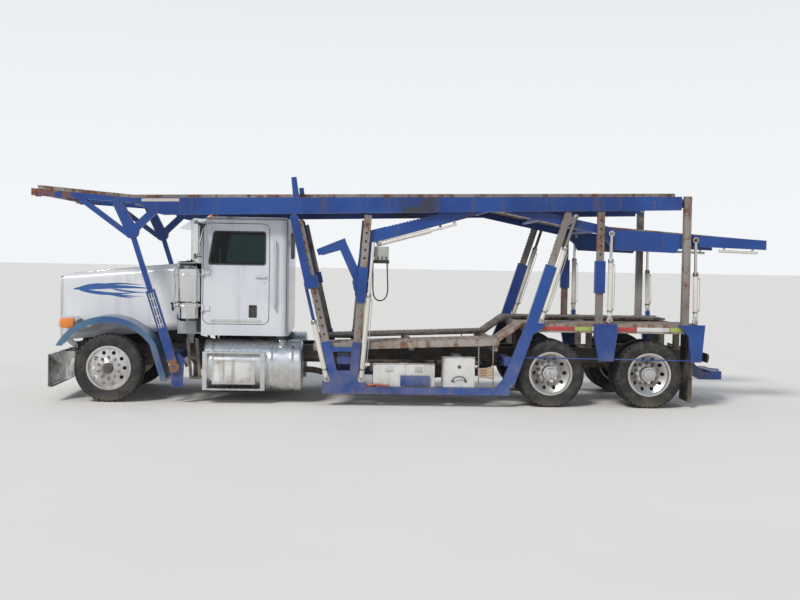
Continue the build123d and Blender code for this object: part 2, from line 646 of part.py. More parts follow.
# Doors, as thick as the cab wall, each with its window and a small peep window low at the back
PEEP = (1925.0, 1255.0, 90.0, 150.0)
for side, hand in ((-1, "left"), (1, "right")):
    near = CAB_HALF - CAB_WALL if side < 0 else -CAB_HALF
    with BuildPart() as door:
        extrude(door_outline(0, near), amount=CAB_WALL)
        extrude(window_face(0, near - 10), amount=CAB_WALL + 20, mode=Mode.SUBTRACT)
        with BuildSketch(Plane.XZ.offset(near - 10)):
            with Locations((st(PEEP[0]), PEEP[1])):
                Rectangle(PEEP[2], PEEP[3])
        extrude(amount=CAB_WALL + 20, mode=Mode.SUBTRACT)
        for level in HINGE_HEIGHTS:
            with BuildSketch(Plane.XY.offset(level - HINGE_LENGTH / 2)):
                with Locations((st(HINGE_X), side * HINGE_Y)):
                    Circle(HINGE_RING)
                with Locations((st(HINGE_X + 45), side * (HINGE_Y - 12))):
                    Rectangle(90, 20)
                with Locations((st(HINGE_X), side * HINGE_Y)):
                    Circle(HINGE_RADIUS + HINGE_PLAY, mode=Mode.SUBTRACT)
            extrude(amount=HINGE_LENGTH)
        # Handle bar across the door's lock
        with BuildSketch(Plane.XY.offset(1720)):
            with Locations((st(DOOR_BACK - 110), side * (CAB_HALF + 18))):
                Rectangle(150, 14)
            for foot in (DOOR_BACK - 175, DOOR_BACK - 45):
                with Locations((st(foot), side * (CAB_HALF + 8))):
                    Rectangle(20, 20)
        extrude(amount=26)
    save(door, "door_" + hand)
    with BuildPart() as door_glass:
        middle = CAB_HALF - CAB_WALL / 2 if side < 0 else -CAB_HALF + CAB_WALL / 2
        extrude(window_face(-RUN_GAP, middle), amount=GLASS_PLATE)
        with BuildSketch(Plane.XZ.offset(middle)):
            with Locations((st(PEEP[0]), PEEP[1])):
                Rectangle(PEEP[2] - 2 * RUN_GAP, PEEP[3] - 2 * RUN_GAP)
        extrude(amount=GLASS_PLATE)
    save(door_glass, "door_glass_" + hand)

# Cab interior: two seats on box bases, the dashboard, the steering column and its wheel
SEAT_Y = 520.0
SEAT_WIDTH = 480.0
FLOOR_TOP = CAB_FLOOR + CAB_WALL
DASH_HALF = COWL_HALF - CAB_WALL - 4
COLUMN_START = (1240.0, 1560.0)
WHEEL_CENTRE = (1530.0, 1690.0)
STEER_RADIUS = 230.0
STEER_GRIP = 14.0
with BuildPart() as cab_interior:
    base = [(1760, FLOOR_TOP), (2120, FLOOR_TOP), (2120, 1360), (1760, 1360)]
    extrude(side_face(base, SEAT_Y - 170), amount=340)
    cushion = [(1660, 1360), (2170, 1360), (2170, 1460), (1690, 1500), (1660, 1470)]
    extrude(side_face(cushion, SEAT_Y - SEAT_WIDTH / 2), amount=SEAT_WIDTH)
    back = [(2090, 1460), (2200, 1460), (2290, 2080), (2260, 2110), (2190, 2100)]
    extrude(side_face(back, SEAT_Y - SEAT_WIDTH / 2), amount=SEAT_WIDTH)
    mirror(about=Plane.XZ)
    dash = [
        (CAB_FRONT + CAB_WALL, 1850),
        (CAB_FRONT + CAB_WALL, 1380),
        (1180, 1380),
        (1290, 1560),
        (1270, 1800),
        (1150, 1870),
    ]
    extrude(side_face(dash, -DASH_HALF), amount=2 * DASH_HALF)
    column = slope(COLUMN_START, WHEEL_CENTRE)[2]
    extrude(disc(28, rod_plane(COLUMN_START, WHEEL_CENTRE, SEAT_Y)), amount=column)
    rim_plane = rod_plane(WHEEL_CENTRE, along(WHEEL_CENTRE, COLUMN_START, -100), SEAT_Y)
    extrude(disc(STEER_RADIUS, rim_plane, STEER_RADIUS - 2 * STEER_GRIP), amount=STEER_GRIP, both=True)
    with BuildSketch(rim_plane):
        Rectangle(2 * STEER_RADIUS - 2 * STEER_GRIP, 50)
        Rectangle(50, 2 * STEER_RADIUS - 2 * STEER_GRIP)
    extrude(amount=8, both=True)
save(cab_interior, "cab_interior")

# Bright fittings on the cab: sun visor, air cleaners, mirrors on their brackets and grab handles
CLEANER_RADIUS = 185.0
CLEANER_X = 1035.0
CLEANER_Y = COWL_HALF + CLEANER_RADIUS + 8
CLEANER_BOTTOM = 1110.0
CLEANER_TOP = 1860.0
VISOR_DROP = 130.0
MIRROR_Y = 1190.0
with BuildPart() as cab_brightwork:
    # Canister with a stepped bowl below and a flat rain cap above
    profile = [
        (0, CLEANER_BOTTOM),
        (110, CLEANER_BOTTOM),
        (CLEANER_RADIUS - 20, CLEANER_BOTTOM + 40),
        (CLEANER_RADIUS - 20, CLEANER_BOTTOM + 250),
        (CLEANER_RADIUS, CLEANER_BOTTOM + 270),
        (CLEANER_RADIUS, CLEANER_TOP - 40),
        (CLEANER_RADIUS - 40, CLEANER_TOP),
        (100, CLEANER_TOP),
        (100, CLEANER_TOP + 50),
        (0, CLEANER_TOP + 80),
    ]
    with BuildSketch(Plane(origin=(st(CLEANER_X), -CLEANER_Y, 0), x_dir=(1, 0, 0), z_dir=(0, -1, 0))):
        with BuildLine():
            Polyline(*profile, close=True)
        make_face()
    revolve(axis=Axis((st(CLEANER_X), -CLEANER_Y, 0), (0, 0, 1)))
    for level in (1300.0, 1720.0):
        with BuildSketch(Plane.XY.offset(level)):
            with Locations((st(CLEANER_X), -COWL_HALF - 40)):
                Rectangle(120, 80)
        extrude(amount=50)
    # Mirror: an upright frame on two arms from the cab's front corner
    for level, root_x, root_y in ((1980.0, 1220.0, CAB_HALF), (2440.0, 1276.0, CAB_HALF - 30)):
        with BuildSketch(Plane.XY.offset(level)):
            with BuildLine():
                Polyline(
                    (st(root_x + 15), -root_y),
                    (st(1120), -MIRROR_Y - 12),
                    (st(1095), -MIRROR_Y + 8),
                    (st(root_x - 15), -root_y),
                    close=True,
                )
            make_face()
        extrude(amount=18)
    with BuildSketch(Plane.XY.offset(1965)):
        with Locations((st(1120), -MIRROR_Y)):
            Rectangle(40, 24)
    extrude(amount=520)
    with BuildSketch(Plane.XY.offset(2030)):
        with Locations((st(1168), -MIRROR_Y - 10)):
            Rectangle(60, 175)
    extrude(amount=400)
    # Grab handle behind the door
    with BuildSketch(Plane.XY.offset(1300)):
        with Locations((st(2225), -CAB_HALF - 48)):
            Circle(15)
    extrude(amount=920)
    for level in (1310.0, 2180.0):
        with BuildSketch(Plane.XZ.offset(CAB_HALF)):
            with Locations((st(2225), level + 15)):
                Rectangle(30, 30)
        extrude(amount=48)
    mirror(about=Plane.XZ)
    # Visor: a sloped plate over both windscreen panes, on the roof's front edge
    visor = [
        (SCREEN_NOSE + SCREEN_RAKE - 150, CAB_TOP - VISOR_DROP),
        (SCREEN_NOSE + SCREEN_RAKE - 142, CAB_TOP - VISOR_DROP - 6),
        (SCREEN_NOSE + SCREEN_RAKE + SCREEN_SWEEP, CAB_TOP - 12),
        (SCREEN_NOSE + SCREEN_RAKE + SCREEN_SWEEP, CAB_TOP),
        (SCREEN_NOSE + SCREEN_RAKE + 40, CAB_TOP + 12),
    ]
    extrude(side_face(visor, -CAB_HALF + 40), amount=2 * CAB_HALF - 80)
    loft([cab_plan(CAB_WAIST, 0, -0.2), cab_plan(CAB_TOP, SCREEN_RAKE, -0.2)], ruled=True, mode=Mode.SUBTRACT)
    extrude(cab_plan(CAB_TOP, SCREEN_RAKE, 0), amount=ROOF_RISE, taper=50, mode=Mode.SUBTRACT)
save(cab_brightwork, "cab_brightwork")

# Fuel tanks: round, with domed ends, on saddles from the frame, and a step frame over the front part
TANK_RADIUS = 350.0
TANK_Z = 505.0
TANK_START = 1270.0
TANK_END = 2610.0
TANK_Y = 860.0
STEP_END = 2110.0
with BuildPart() as fuel_tanks:
    tank_end_plane = Plane(origin=(st(TANK_START), -TANK_Y, TANK_Z), x_dir=(0, 1, 0), z_dir=(1, 0, 0))
    with BuildSketch(tank_end_plane):
        Circle(TANK_RADIUS)
    extrude(amount=TANK_END - TANK_START)
    fillet(fuel_tanks.edges().filter_by(GeomType.CIRCLE), 40)
    for station in (TANK_START + 230, TANK_END - 230):
        with BuildSketch(Plane.XZ.offset(FRAME_HALF)):
            with Locations((st(station), TANK_Z + 110)):
                Rectangle(90, 130)
        extrude(amount=TANK_Y - FRAME_HALF)
    step_outer = TANK_Y + TANK_RADIUS + 25
    for level in (190.0, 690.0):
        with BuildSketch(Plane.XY.offset(level)):
            with Locations((st((TANK_START + STEP_END) / 2), -(TANK_Y + 150 + step_outer) / 2)):
                Rectangle(STEP_END - TANK_START, step_outer - TANK_Y - 150)
        extrude(amount=20)
    for station in (TANK_START, STEP_END - 60):
        post = [(station, 190), (station + 60, 190), (station + 60, 710), (station, 710)]
        extrude(side_face(post, TANK_Y + TANK_RADIUS - 60), amount=85)
    panel = [(1400, 270), (1980, 270), (1980, 600), (1400, 600)]
    extrude(side_face(panel, TANK_Y + TANK_RADIUS - 40), amount=48)
    mirror(about=Plane.XZ)
save(fuel_tanks, "fuel_tanks")

# Cab steps: two slanted stringers with two treads between them, on an arm from the frame rail
STEP_TOP = (1060.0, 880.0)
STEP_BOTTOM = (1110.0, 330.0)
STEP_LENGTH = 120.0
STRINGER = 40.0
STEP_OUTER = 1150.0
TREAD_HEIGHTS = (330.0, 600.0)
TREAD_PLATE = 24.0
TREAD_DEPTH = 230.0
with BuildPart() as cab_steps:
    for shift in (0, STEP_LENGTH):
        head = (STEP_TOP[0] + shift, STEP_TOP[1])
        foot = (STEP_BOTTOM[0] + shift, STEP_BOTTOM[1])
        extrude(side_face(bar(head, foot, STRINGER), STEP_OUTER - STRINGER), amount=STRINGER)
    for level in TREAD_HEIGHTS:
        share = (STEP_TOP[1] - level) / (STEP_TOP[1] - STEP_BOTTOM[1])
        front = STEP_TOP[0] + (STEP_BOTTOM[0] - STEP_TOP[0]) * share
        tread = [
            (front, level),
            (front + STEP_LENGTH, level),
            (front + STEP_LENGTH, level + TREAD_PLATE),
            (front, level + TREAD_PLATE),
        ]
        extrude(side_face(tread, STEP_OUTER - TREAD_DEPTH), amount=TREAD_DEPTH)
    arm = [(front + 30, level - 30), (front + 90, level - 30), (front + 90, level), (front + 30, level)]
    extrude(side_face(arm, FRAME_HALF), amount=STEP_OUTER - FRAME_HALF - STRINGER)
    low = TREAD_HEIGHTS[0]
    post = [(front + 30, level), (front + 90, level), (front + 90, low), (front + 30, low)]
    extrude(side_face(post, STEP_OUTER - TREAD_DEPTH), amount=STRINGER)
    mirror(about=Plane.XZ)
save(cab_steps, "cab_steps")

# Toolboxes inside the side sills, open towards their doors; columns: start, end, bottom, top
BOXES = ((3580.0, 4420.0, 265.0, 560.0), (4540.0, 4970.0, 265.0, 660.0))
BOX_OUTER = RACK_INNER - SIDE_GAP
BOX_INNER = BOX_OUTER - 365.0
BOX_WALL = 12.0
BOX_DOOR = 14.0
BOX_HINGE = 7.0
BOX_HINGE_RISE = 5.0
with BuildPart() as toolboxes:
    for start, end, bottom, top in BOXES:
        outline = [(start, bottom), (end, bottom), (end, top), (start, top)]
        extrude(side_face(outline, BOX_INNER), amount=BOX_OUTER - BOX_DOOR - RUN_GAP - BOX_INNER)
        hollow = [
            (start + BOX_WALL, bottom + BOX_WALL),
            (end - BOX_WALL, bottom + BOX_WALL),
            (end - BOX_WALL, top - BOX_WALL),
            (start + BOX_WALL, top - BOX_WALL),
        ]
        extrude(side_face(hollow, BOX_INNER + BOX_WALL), amount=BOX_OUTER - BOX_INNER, mode=Mode.SUBTRACT)
        hanger = [((start + end) / 2 - 60, top), ((start + end) / 2 + 60, top)]
        hanger += [((start + end) / 2 + 60, top + 10), ((start + end) / 2 - 60, top + 10)]
        extrude(side_face(hanger, FRAME_HALF), amount=BOX_OUTER - FRAME_HALF - 60)
    mirror(about=Plane.XZ)
save(toolboxes, "toolboxes")
for side, hand in ((-1, "left"), (1, "right")):
    for number, (start, end, bottom, top) in enumerate(BOXES, 1):
        with BuildPart() as box_door:
            near = BOX_OUTER - BOX_DOOR if side < 0 else -BOX_OUTER
            outline = [
                (start + 2, bottom + 2),
                (end - 2, bottom + 2),
                (end - 2, top - 2),
                (start + 2, top - 2),
            ]
            extrude(side_face(outline, near), amount=BOX_DOOR)
            # The hinge's knuckle along the top edge, which turns clear of the box
            hinge_y = side * (BOX_OUTER - BOX_DOOR / 2)
            leaf = [
                (start + 40, top - 2),
                (end - 40, top - 2),
                (end - 40, top + BOX_HINGE_RISE),
                (start + 40, top + BOX_HINGE_RISE),
            ]
            extrude(side_face(leaf, near), amount=BOX_DOOR)
            knuckle_start = Plane(
                origin=(st(start + 40), hinge_y, top + BOX_HINGE_RISE),
                x_dir=(0, 1, 0),
                z_dir=(1, 0, 0),
            )
            extrude(disc(BOX_HINGE, knuckle_start), amount=end - start - 80)
        save(box_door, "toolbox_door_%d_%s" % (number, hand))

# Rack masts, as foot and head in side view: A behind the cab, B at the middle deck's pivot,
# C between the drive wheels and D at the tail
MAST_A = ((3060.0, 330.0), (2545.0, 2500.0))
MAST_B = ((3310.0, 330.0), (3478.0, 2590.0))
MAST_C = ((6650.0, 1165.0), (6650.0, 2700.0))
MAST_D = ((7840.0, 1165.0), (7840.0, 2925.0))
MAST_DEPTH = 100.0
MAST_WRAP = 116.0
PLATE_TOP = 330.0
PIN_RADIUS = 18.0
MAST_Y = RACK_OUTER - RACK_BAR / 2
DECK_TOP = 1165.0
DIAGONAL_FOOT = (5420.0, 330.0)
DIAGONAL_BEND = (5720.0, 1140.0)
DIAGONAL_HEAD = (6200.0, 2660.0)
DIAGONAL_SPLIT = 850.0
with BuildPart() as masts:
    for foot, head in (MAST_A, MAST_B, MAST_C):
        extrude(side_face(bar(foot, head, MAST_DEPTH), MAST_Y - MAST_WIDTH / 2), amount=MAST_WIDTH)
    extrude(side_face(bar(*MAST_D, MAST_DEPTH), MAST_Y - RACK_BAR / 2), amount=RACK_BAR)
    # Pivot pins of the upper deck reach in from the tail masts
    extrude(disc(PIVOT_RADIUS, cross_plane(UPPER_PIVOT, RACK_INNER - 60)), amount=60)
    mirror(about=Plane.XZ)
save(masts, "masts")

# Feet of the front legs and of the cylinders under the middle deck, as station and height
LEG_FOOT = (900.0, 500.0)
CYL_C = ((6800.0, 1215.0), (6800.0, 2400.0))
CYL_D = ((7990.0, 1215.0), (7965.0, 2330.0))

# Rack sides, all in one upright plane: the sill, the V base, the lower diagonal with the outer tube of its
# sliding mast, the plates beside the drive wheels with the thin rail through them, and the cylinders' feet
SILL_BOTTOM = 170.0
SILL_TOP = 262.0
PLATE_BOTTOM = 655.0
THIN_RAIL_RADIUS = 9.0
THIN_RAIL = ((5560.0, 690.0), (8060.0, 672.0))
with BuildPart() as rack_sides:
    sill = [(2890, SILL_BOTTOM), (5440, SILL_BOTTOM), (5440, SILL_TOP), (2890, SILL_TOP)]
    extrude(side_face(sill, RACK_INNER), amount=RACK_BAR)
    foot_plate = [(2890, SILL_TOP), (3480, SILL_TOP), (3480, PLATE_TOP), (2890, PLATE_TOP)]
    extrude(side_face(foot_plate, RACK_INNER), amount=RACK_BAR)
    for (foot, head), length in ((MAST_A, 560.0), (MAST_B, 540.0)):
        wrap = bar(along(foot, head, -5), along(foot, head, length), MAST_WRAP)
        extrude(side_face(wrap, RACK_INNER), amount=RACK_BAR)
    web = [(3040, PLATE_TOP), (3330, PLATE_TOP), (3330, 480), (3040, 480)]
    extrude(side_face(web, RACK_INNER), amount=RACK_BAR)
    tie = [(2990, 740), (3330, 740), (3330, 800), (2990, 800)]
    extrude(side_face(tie, RACK_INNER + 10), amount=RACK_BAR - 20)
    for foot, head in (MAST_A, MAST_B):
        hole = bar(foot, head, MAST_DEPTH)
        extrude(side_face(hole, MAST_Y - MAST_WIDTH / 2), amount=MAST_WIDTH, mode=Mode.SUBTRACT)
    # Lower diagonal post, its foot on the sill, and the outer tube of its sliding mast
    extrude(side_face(bar(DIAGONAL_FOOT, DIAGONAL_BEND, 170, 140), RACK_INNER), amount=RACK_BAR)
    toe = [(5250, SILL_TOP), (5440, SILL_TOP), (5500, 400), (5380, 420)]
    extrude(side_face(toe, RACK_INNER), amount=RACK_BAR)
    tube_end = along(DIAGONAL_BEND, DIAGONAL_HEAD, DIAGONAL_SPLIT)
    extrude(side_face(bar(DIAGONAL_BEND, tube_end, 140), RACK_INNER), amount=RACK_BAR)
    bore_start = along(DIAGONAL_BEND, DIAGONAL_HEAD, 120)
    bore_end = along(DIAGONAL_BEND, DIAGONAL_HEAD, DIAGONAL_SPLIT + 10)
    channel = bar(bore_start, bore_end, 100 + 2 * RUN_GAP)
    channel_width = MAST_WIDTH + 2 * RUN_GAP
    extrude(side_face(channel, MAST_Y - channel_width / 2), amount=channel_width, mode=Mode.SUBTRACT)
    # Plates below the deck, between and behind the drive wheels, and the thin rail through their feet
    plate = [
        (6590, DECK_TOP),
        (6590, 1000),
        (6660, PLATE_BOTTOM),
        (6860, PLATE_BOTTOM),
        (6900, 1000),
        (6900, DECK_TOP),
    ]
    extrude(side_face(plate, RACK_INNER), amount=RACK_BAR)
    plate = [(7760, DECK_TOP), (7900, 1000), (7930, PLATE_BOTTOM), (8080, PLATE_BOTTOM), (8120, DECK_TOP)]
    extrude(side_face(plate, RACK_INNER), amount=RACK_BAR)
    rail_length = slope(*THIN_RAIL)[2]
    extrude(disc(THIN_RAIL_RADIUS, rod_plane(*THIN_RAIL, MAST_Y)), amount=rail_length)
    # Lugs and pins at the feet of the cylinders under the middle deck
    for (foot_x, foot_z), _ in (CYL_C, CYL_D):
        lug = [
            (foot_x - 35, DECK_TOP),
            (foot_x + 35, DECK_TOP),
            (foot_x + 30, foot_z + 30),
            (foot_x - 30, foot_z + 30),
        ]
        extrude(side_face(lug, RACK_INNER + 4), amount=18)
        extrude(disc(PIN_RADIUS, cross_plane((foot_x, foot_z), RACK_INNER + 4)), amount=RACK_BAR - 10)
    # Foot of the cylinder behind the diagonal
    foot_lug = [(5720, 1000), (5800, 1040), (5905, 1130), (5905, 1165), (5790, 1165), (5720, 1140)]
    extrude(side_face(foot_lug, RACK_INNER), amount=RACK_BAR)
    mirror(about=Plane.XZ)
save(rack_sides, "rack_sides")

# Rack base: the outriggers from the frame rails, the front legs' brackets and pins, and the sleeves on
# masts B and C with the middle deck's pivot pins; columns of the outriggers: station, width
OUTRIGGERS = ((900.0, 90.0), (3185.0, 200.0), (5430.0, 110.0))
with BuildPart() as rack_base:
    for station, width in OUTRIGGERS:
        with BuildSketch(Plane.XZ.offset(FRAME_HALF)):
            with Locations((st(station), FRAME_BOTTOM + 60)):
                Rectangle(width, 110)
        extrude(amount=RACK_INNER - FRAME_HALF)
    # Bracket that carries the front leg's foot
    hanger = [(855, 230), (1010, 230), (1030, 620), (945, 680), (855, 560)]
    extrude(side_face(hanger, RACK_INNER), amount=20)
    extrude(disc(PIVOT_RADIUS, cross_plane(LEG_FOOT, RACK_INNER)), amount=RACK_BAR - 5)
    for (foot, head), low, high, depth in ((MAST_B, 1080.0, 1560.0, 122.0), (MAST_C, 420.0, 860.0, 140.0)):
        sleeve = bar(along(foot, head, low), along(foot, head, high), depth)
        extrude(side_face(sleeve, RACK_INNER), amount=RACK_BAR)
        hole = bar(foot, head, MAST_DEPTH)
        extrude(side_face(hole, MAST_Y - MAST_WIDTH / 2), amount=MAST_WIDTH, mode=Mode.SUBTRACT)
    extrude(disc(PIVOT_RADIUS, cross_plane(MID_PIVOT, ARM_INNER)), amount=RACK_INNER - ARM_INNER + 10)
    mirror(about=Plane.XZ)
save(rack_base, "rack_base")

# Fixed hydraulic cylinders: the barrels at mast A and the diagonals, the whole cylinder at mast B
BARREL_RADIUS = 36.0
ROD_RADIUS = 22.0
EYE_RADIUS = 40.0
EYE_PLAY = 1.5
KNEE_PLAY = 3.0
CYL_A_FOOT = (2947.0, 372.0)
CYL_A_EYE = beside(CYL_A_FOOT, MAST_A, 1330.0)
CYL_B_FOOT = (3416.0, 372.0)
CYL_B_EYE = beside(CYL_B_FOOT, MAST_B, 1860.0)
CYL_E_FOOT = (5856.0, 1200.0)
CYL_E_EYE = beside(CYL_E_FOOT, (DIAGONAL_BEND, DIAGONAL_HEAD), 1490.0)
BARREL_A = 800.0
BARREL_B = 1150.0
BARREL_E = 1050.0
ROD_BORE = ROD_RADIUS + RUN_GAP
with BuildPart() as lift_barrels:
    for foot, eye, length, depth in (
        (CYL_A_FOOT, CYL_A_EYE, BARREL_A, 60.0),
        (CYL_E_FOOT, CYL_E_EYE, BARREL_E, 60.0),
    ):
        extrude(disc(BARREL_RADIUS, rod_plane(foot, eye, MAST_Y)), amount=length)
        hollow_start = along(foot, eye, depth)
        extrude(disc(ROD_BORE, rod_plane(hollow_start, eye, MAST_Y)), amount=length, mode=Mode.SUBTRACT)
    for foot, low in ((CYL_A_FOOT, PLATE_TOP), (CYL_B_FOOT, PLATE_TOP), (CYL_E_FOOT, DECK_TOP)):
        top = foot[1] + 15
        block = [(foot[0] - 30, low), (foot[0] + 30, low), (foot[0] + 30, top), (foot[0] - 30, top)]
        extrude(side_face(block, MAST_Y - 30), amount=60)
    extrude(disc(BARREL_RADIUS, rod_plane(CYL_B_FOOT, CYL_B_EYE, MAST_Y)), amount=BARREL_B)
    reach = slope(CYL_B_FOOT, CYL_B_EYE)[2]
    extrude(disc(ROD_RADIUS, rod_plane(CYL_B_FOOT, CYL_B_EYE, MAST_Y)), amount=reach)
    mirror(about=Plane.XZ)
save(lift_barrels, "lift_barrels")

# Lower deck: runways over the drive wheels on cross beams and stands, and the ramp behind the cab
RAMP_START = (2760.0, 830.0)
RAMP_KNEE = (5300.0, 935.0)
DECK_START = 5620.0
DECK_END = 8060.0
DECK_INNER = 480.0
BEAM_STATIONS = (5660.0, 6706.0, 7980.0)
TIE_STATIONS = (2860.0, 4100.0, 5250.0)
RAMP_PLATE = 30.0
SIDE_BEAM = 90.0
SIDE_BEAM_WALL = 40.0
DECK_OUTER = RACK_INNER - 20.0


def ramp_under(station):
    """Height of the ramp's underside at a station."""
    share = (station - RAMP_START[0]) / (RAMP_KNEE[0] - RAMP_START[0])
    return RAMP_START[1] - RAMP_PLATE + (RAMP_KNEE[1] - RAMP_START[1]) * share


with BuildPart() as lower_deck:
    ramp = [
        RAMP_START,
        RAMP_KNEE,
        (DECK_START, DECK_TOP),
        (DECK_END, DECK_TOP),
        (DECK_END, DECK_TOP - 30),
        (DECK_START + 12, DECK_TOP - 30),
        (RAMP_KNEE[0] + 6, RAMP_KNEE[1] - RAMP_PLATE),
        (RAMP_START[0], RAMP_START[1] - RAMP_PLATE),
    ]
    extrude(side_face(ramp, DECK_INNER), amount=DECK_OUTER - DECK_INNER)
    # Side beam below the ramp's outer edge
    beam = [
        RAMP_START,
        RAMP_KNEE,
        (RAMP_KNEE[0], RAMP_KNEE[1] - SIDE_BEAM),
        (RAMP_START[0], RAMP_START[1] - SIDE_BEAM),
    ]
    extrude(side_face(beam, DECK_OUTER - SIDE_BEAM_WALL), amount=SIDE_BEAM_WALL)
    skirt = [
        (DECK_START + 12, DECK_TOP - 30),
        (DECK_END, DECK_TOP - 30),
        (DECK_END, DECK_TOP - 130),
        (DECK_START + 12, DECK_TOP - 130),
    ]
    extrude(side_face(skirt, RACK_INNER - 60), amount=40)
    for station in BEAM_STATIONS:
        beam = [
            (station - 40, DECK_TOP - 30),
            (station + 40, DECK_TOP - 30),
            (station + 40, DECK_TOP - 120),
            (station - 40, DECK_TOP - 120),
        ]
        extrude(side_face(beam, 0), amount=RACK_INNER)
        stand = [
            (station - 40, DECK_TOP - 120),
            (station + 40, DECK_TOP - 120),
            (station + 40, FRAME_TOP),
            (station - 40, FRAME_TOP),
        ]
        extrude(side_face(stand, FRAME_HALF - 80), amount=80)
    for station in TIE_STATIONS:
        tie = [
            (station - 35, ramp_under(station - 35) + 5),
            (station + 35, ramp_under(station + 35) + 5),
            (station + 35, FRAME_TOP),
            (station - 35, FRAME_TOP),
        ]
        extrude(side_face(tie, 0), amount=DECK_OUTER - SIDE_BEAM_WALL)
    mirror(about=Plane.XZ)
save(lower_deck, "lower_deck")

# Mud flaps behind the last axle
FLAP_INNER = RACK_INNER - 615.0
FLAP_OUTER = RACK_INNER - 65.0
with BuildPart() as mudflaps:
    flap = [(7985, 75), (8000, 75), (8000, DECK_TOP - 120), (7985, DECK_TOP - 120)]
    extrude(side_face(flap, FLAP_INNER), amount=FLAP_OUTER - FLAP_INNER)
    mirror(about=Plane.XZ)
save(mudflaps, "mudflaps")

# Trailer coupling slung below and behind the frame, with the round socket that the trailer's pin enters
COUPLING_X = 8640.0
COUPLING_Z = 330.0
SOCKET_RADIUS = 40.0
SOCKET_LENGTH = 120.0
with BuildPart() as stinger:
    neck = [
        (7720, FRAME_BOTTOM),
        (FRAME_TAIL, FRAME_BOTTOM),
        (8420, 430),
        (COUPLING_X + 20, 410),
        (COUPLING_X + 20, 330),
        (8330, 330),
        (8080, 470),
        (7720, 500),
    ]
    extrude(side_face(neck, FRAME_HALF - RAIL_FLANGE), amount=60)
    mirror(about=Plane.XZ)
    with BuildSketch(Plane.XY.offset(COUPLING_Z)):
        with Locations((st(COUPLING_X - 60), 0)):
            Rectangle(160, 2 * (FRAME_HALF - RAIL_FLANGE + 60))
        with Locations((st(COUPLING_X), 0)):
            Circle(110)
    extrude(amount=SOCKET_LENGTH)
    with BuildSketch(Plane.XY.offset(COUPLING_Z)):
        with Locations((st(COUPLING_X), 0)):
            Circle(SOCKET_RADIUS)
    extrude(amount=SOCKET_LENGTH, mode=Mode.SUBTRACT)
save(stinger, "stinger")

# Tail lamps on a bar across the frame's end
LAMP_RADIUS = 52.0
with BuildPart() as tail_lamps:
    with BuildSketch(Plane.YZ.offset(st(FRAME_TAIL))):
        with Locations((0, FRAME_TOP - 70)):
            Rectangle(2 * 1000, 130)
    extrude(amount=12)
    with BuildSketch(Plane.YZ.offset(st(FRAME_TAIL) + 12)):
        for lamp_y in (620.0, 760.0, 900.0):
            with Locations((-lamp_y, FRAME_TOP - 70), (lamp_y, FRAME_TOP - 70)):
                Circle(LAMP_RADIUS)
    extrude(amount=25)
save(tail_lamps, "tail_lamps")

# Hood: a tapering shell, open behind and below; columns: station, half width, bottom, top, corner
HOOD_SECTIONS = ((HOOD_NOSE, 600.0, 790.0, 1715.0, 90.0), (HOOD_BACK, 790.0, 960.0, 1885.0, 130.0))


def hood_section(station, half, bottom, top, corner, inset):
    """Section across the hood; a shell's inner section is moved in by its skin."""
    with BuildSketch(Plane.YZ.offset(st(station))) as section:
        with BuildLine():
            Polyline(
                (-half + inset, bottom),
                (half - inset, bottom),
                (half - inset, top - inset),
                (-half + inset, top - inset),
                close=True,
            )
        make_face()
        fillet(section.vertices().group_by(Axis.Z)[-1], corner - inset)
    return section.sketch


GRILLE_HALF = 470.0
GRILLE_BOTTOM = 860.0
GRILLE_TOP = 1640.0
with BuildPart() as hood:
    loft([hood_section(*row, 0) for row in HOOD_SECTIONS], ruled=True)
    (nose_x, nose_half, nose_bottom, nose_top, nose_corner), back_row = HOOD_SECTIONS
    inner_nose = hood_section(nose_x + HOOD_SKIN, nose_half, nose_bottom, nose_top, nose_corner, HOOD_SKIN)
    loft([inner_nose, hood_section(*back_row, HOOD_SKIN)], ruled=True, mode=Mode.SUBTRACT)
    with BuildSketch(Plane.YZ.offset(st(HOOD_NOSE) - 20)):
        with Locations((0, (GRILLE_BOTTOM + GRILLE_TOP) / 2)):
            Rectangle(2 * GRILLE_HALF, GRILLE_TOP - GRILLE_BOTTOM)
    extrude(amount=80, mode=Mode.SUBTRACT)
    # Hinge ears that reach down to the pivot on the frame's nose
    ear = [
        (HOOD_NOSE + 4, 850),
        (HOOD_NOSE + 4, 770),
        (HOOD_PIVOT[0] - 20, HOOD_PIVOT[1] - 20),
        (HOOD_PIVOT[0] + 25, HOOD_PIVOT[1] - 20),
        (HOOD_PIVOT[0] + 25, HOOD_PIVOT[1] + 30),
        (HOOD_NOSE + 40, 850),
    ]
    for near in (FRAME_HALF + 6, -FRAME_HALF - 36):
        extrude(side_face(ear, near), amount=30)
        extrude(disc(HOOD_PIN + PIN_GAP, cross_plane(HOOD_PIVOT, near)), amount=30, mode=Mode.SUBTRACT)
save(hood, "hood")

# Fenders: a rolled band over each wheel with its outer wall, riding on the hood
FENDER_OUTER = 1190.0
FENDER_INNER = 700.0
FENDER_SKIN = 14.0
FENDER_FRONT = (-700.0, 760.0)
FENDER_CROWN = (0.0, 1165.0)
FENDER_REAR = (640.0, 790.0)
FENDER_TAIL = (790.0, 300.0)
LIP = 85.0


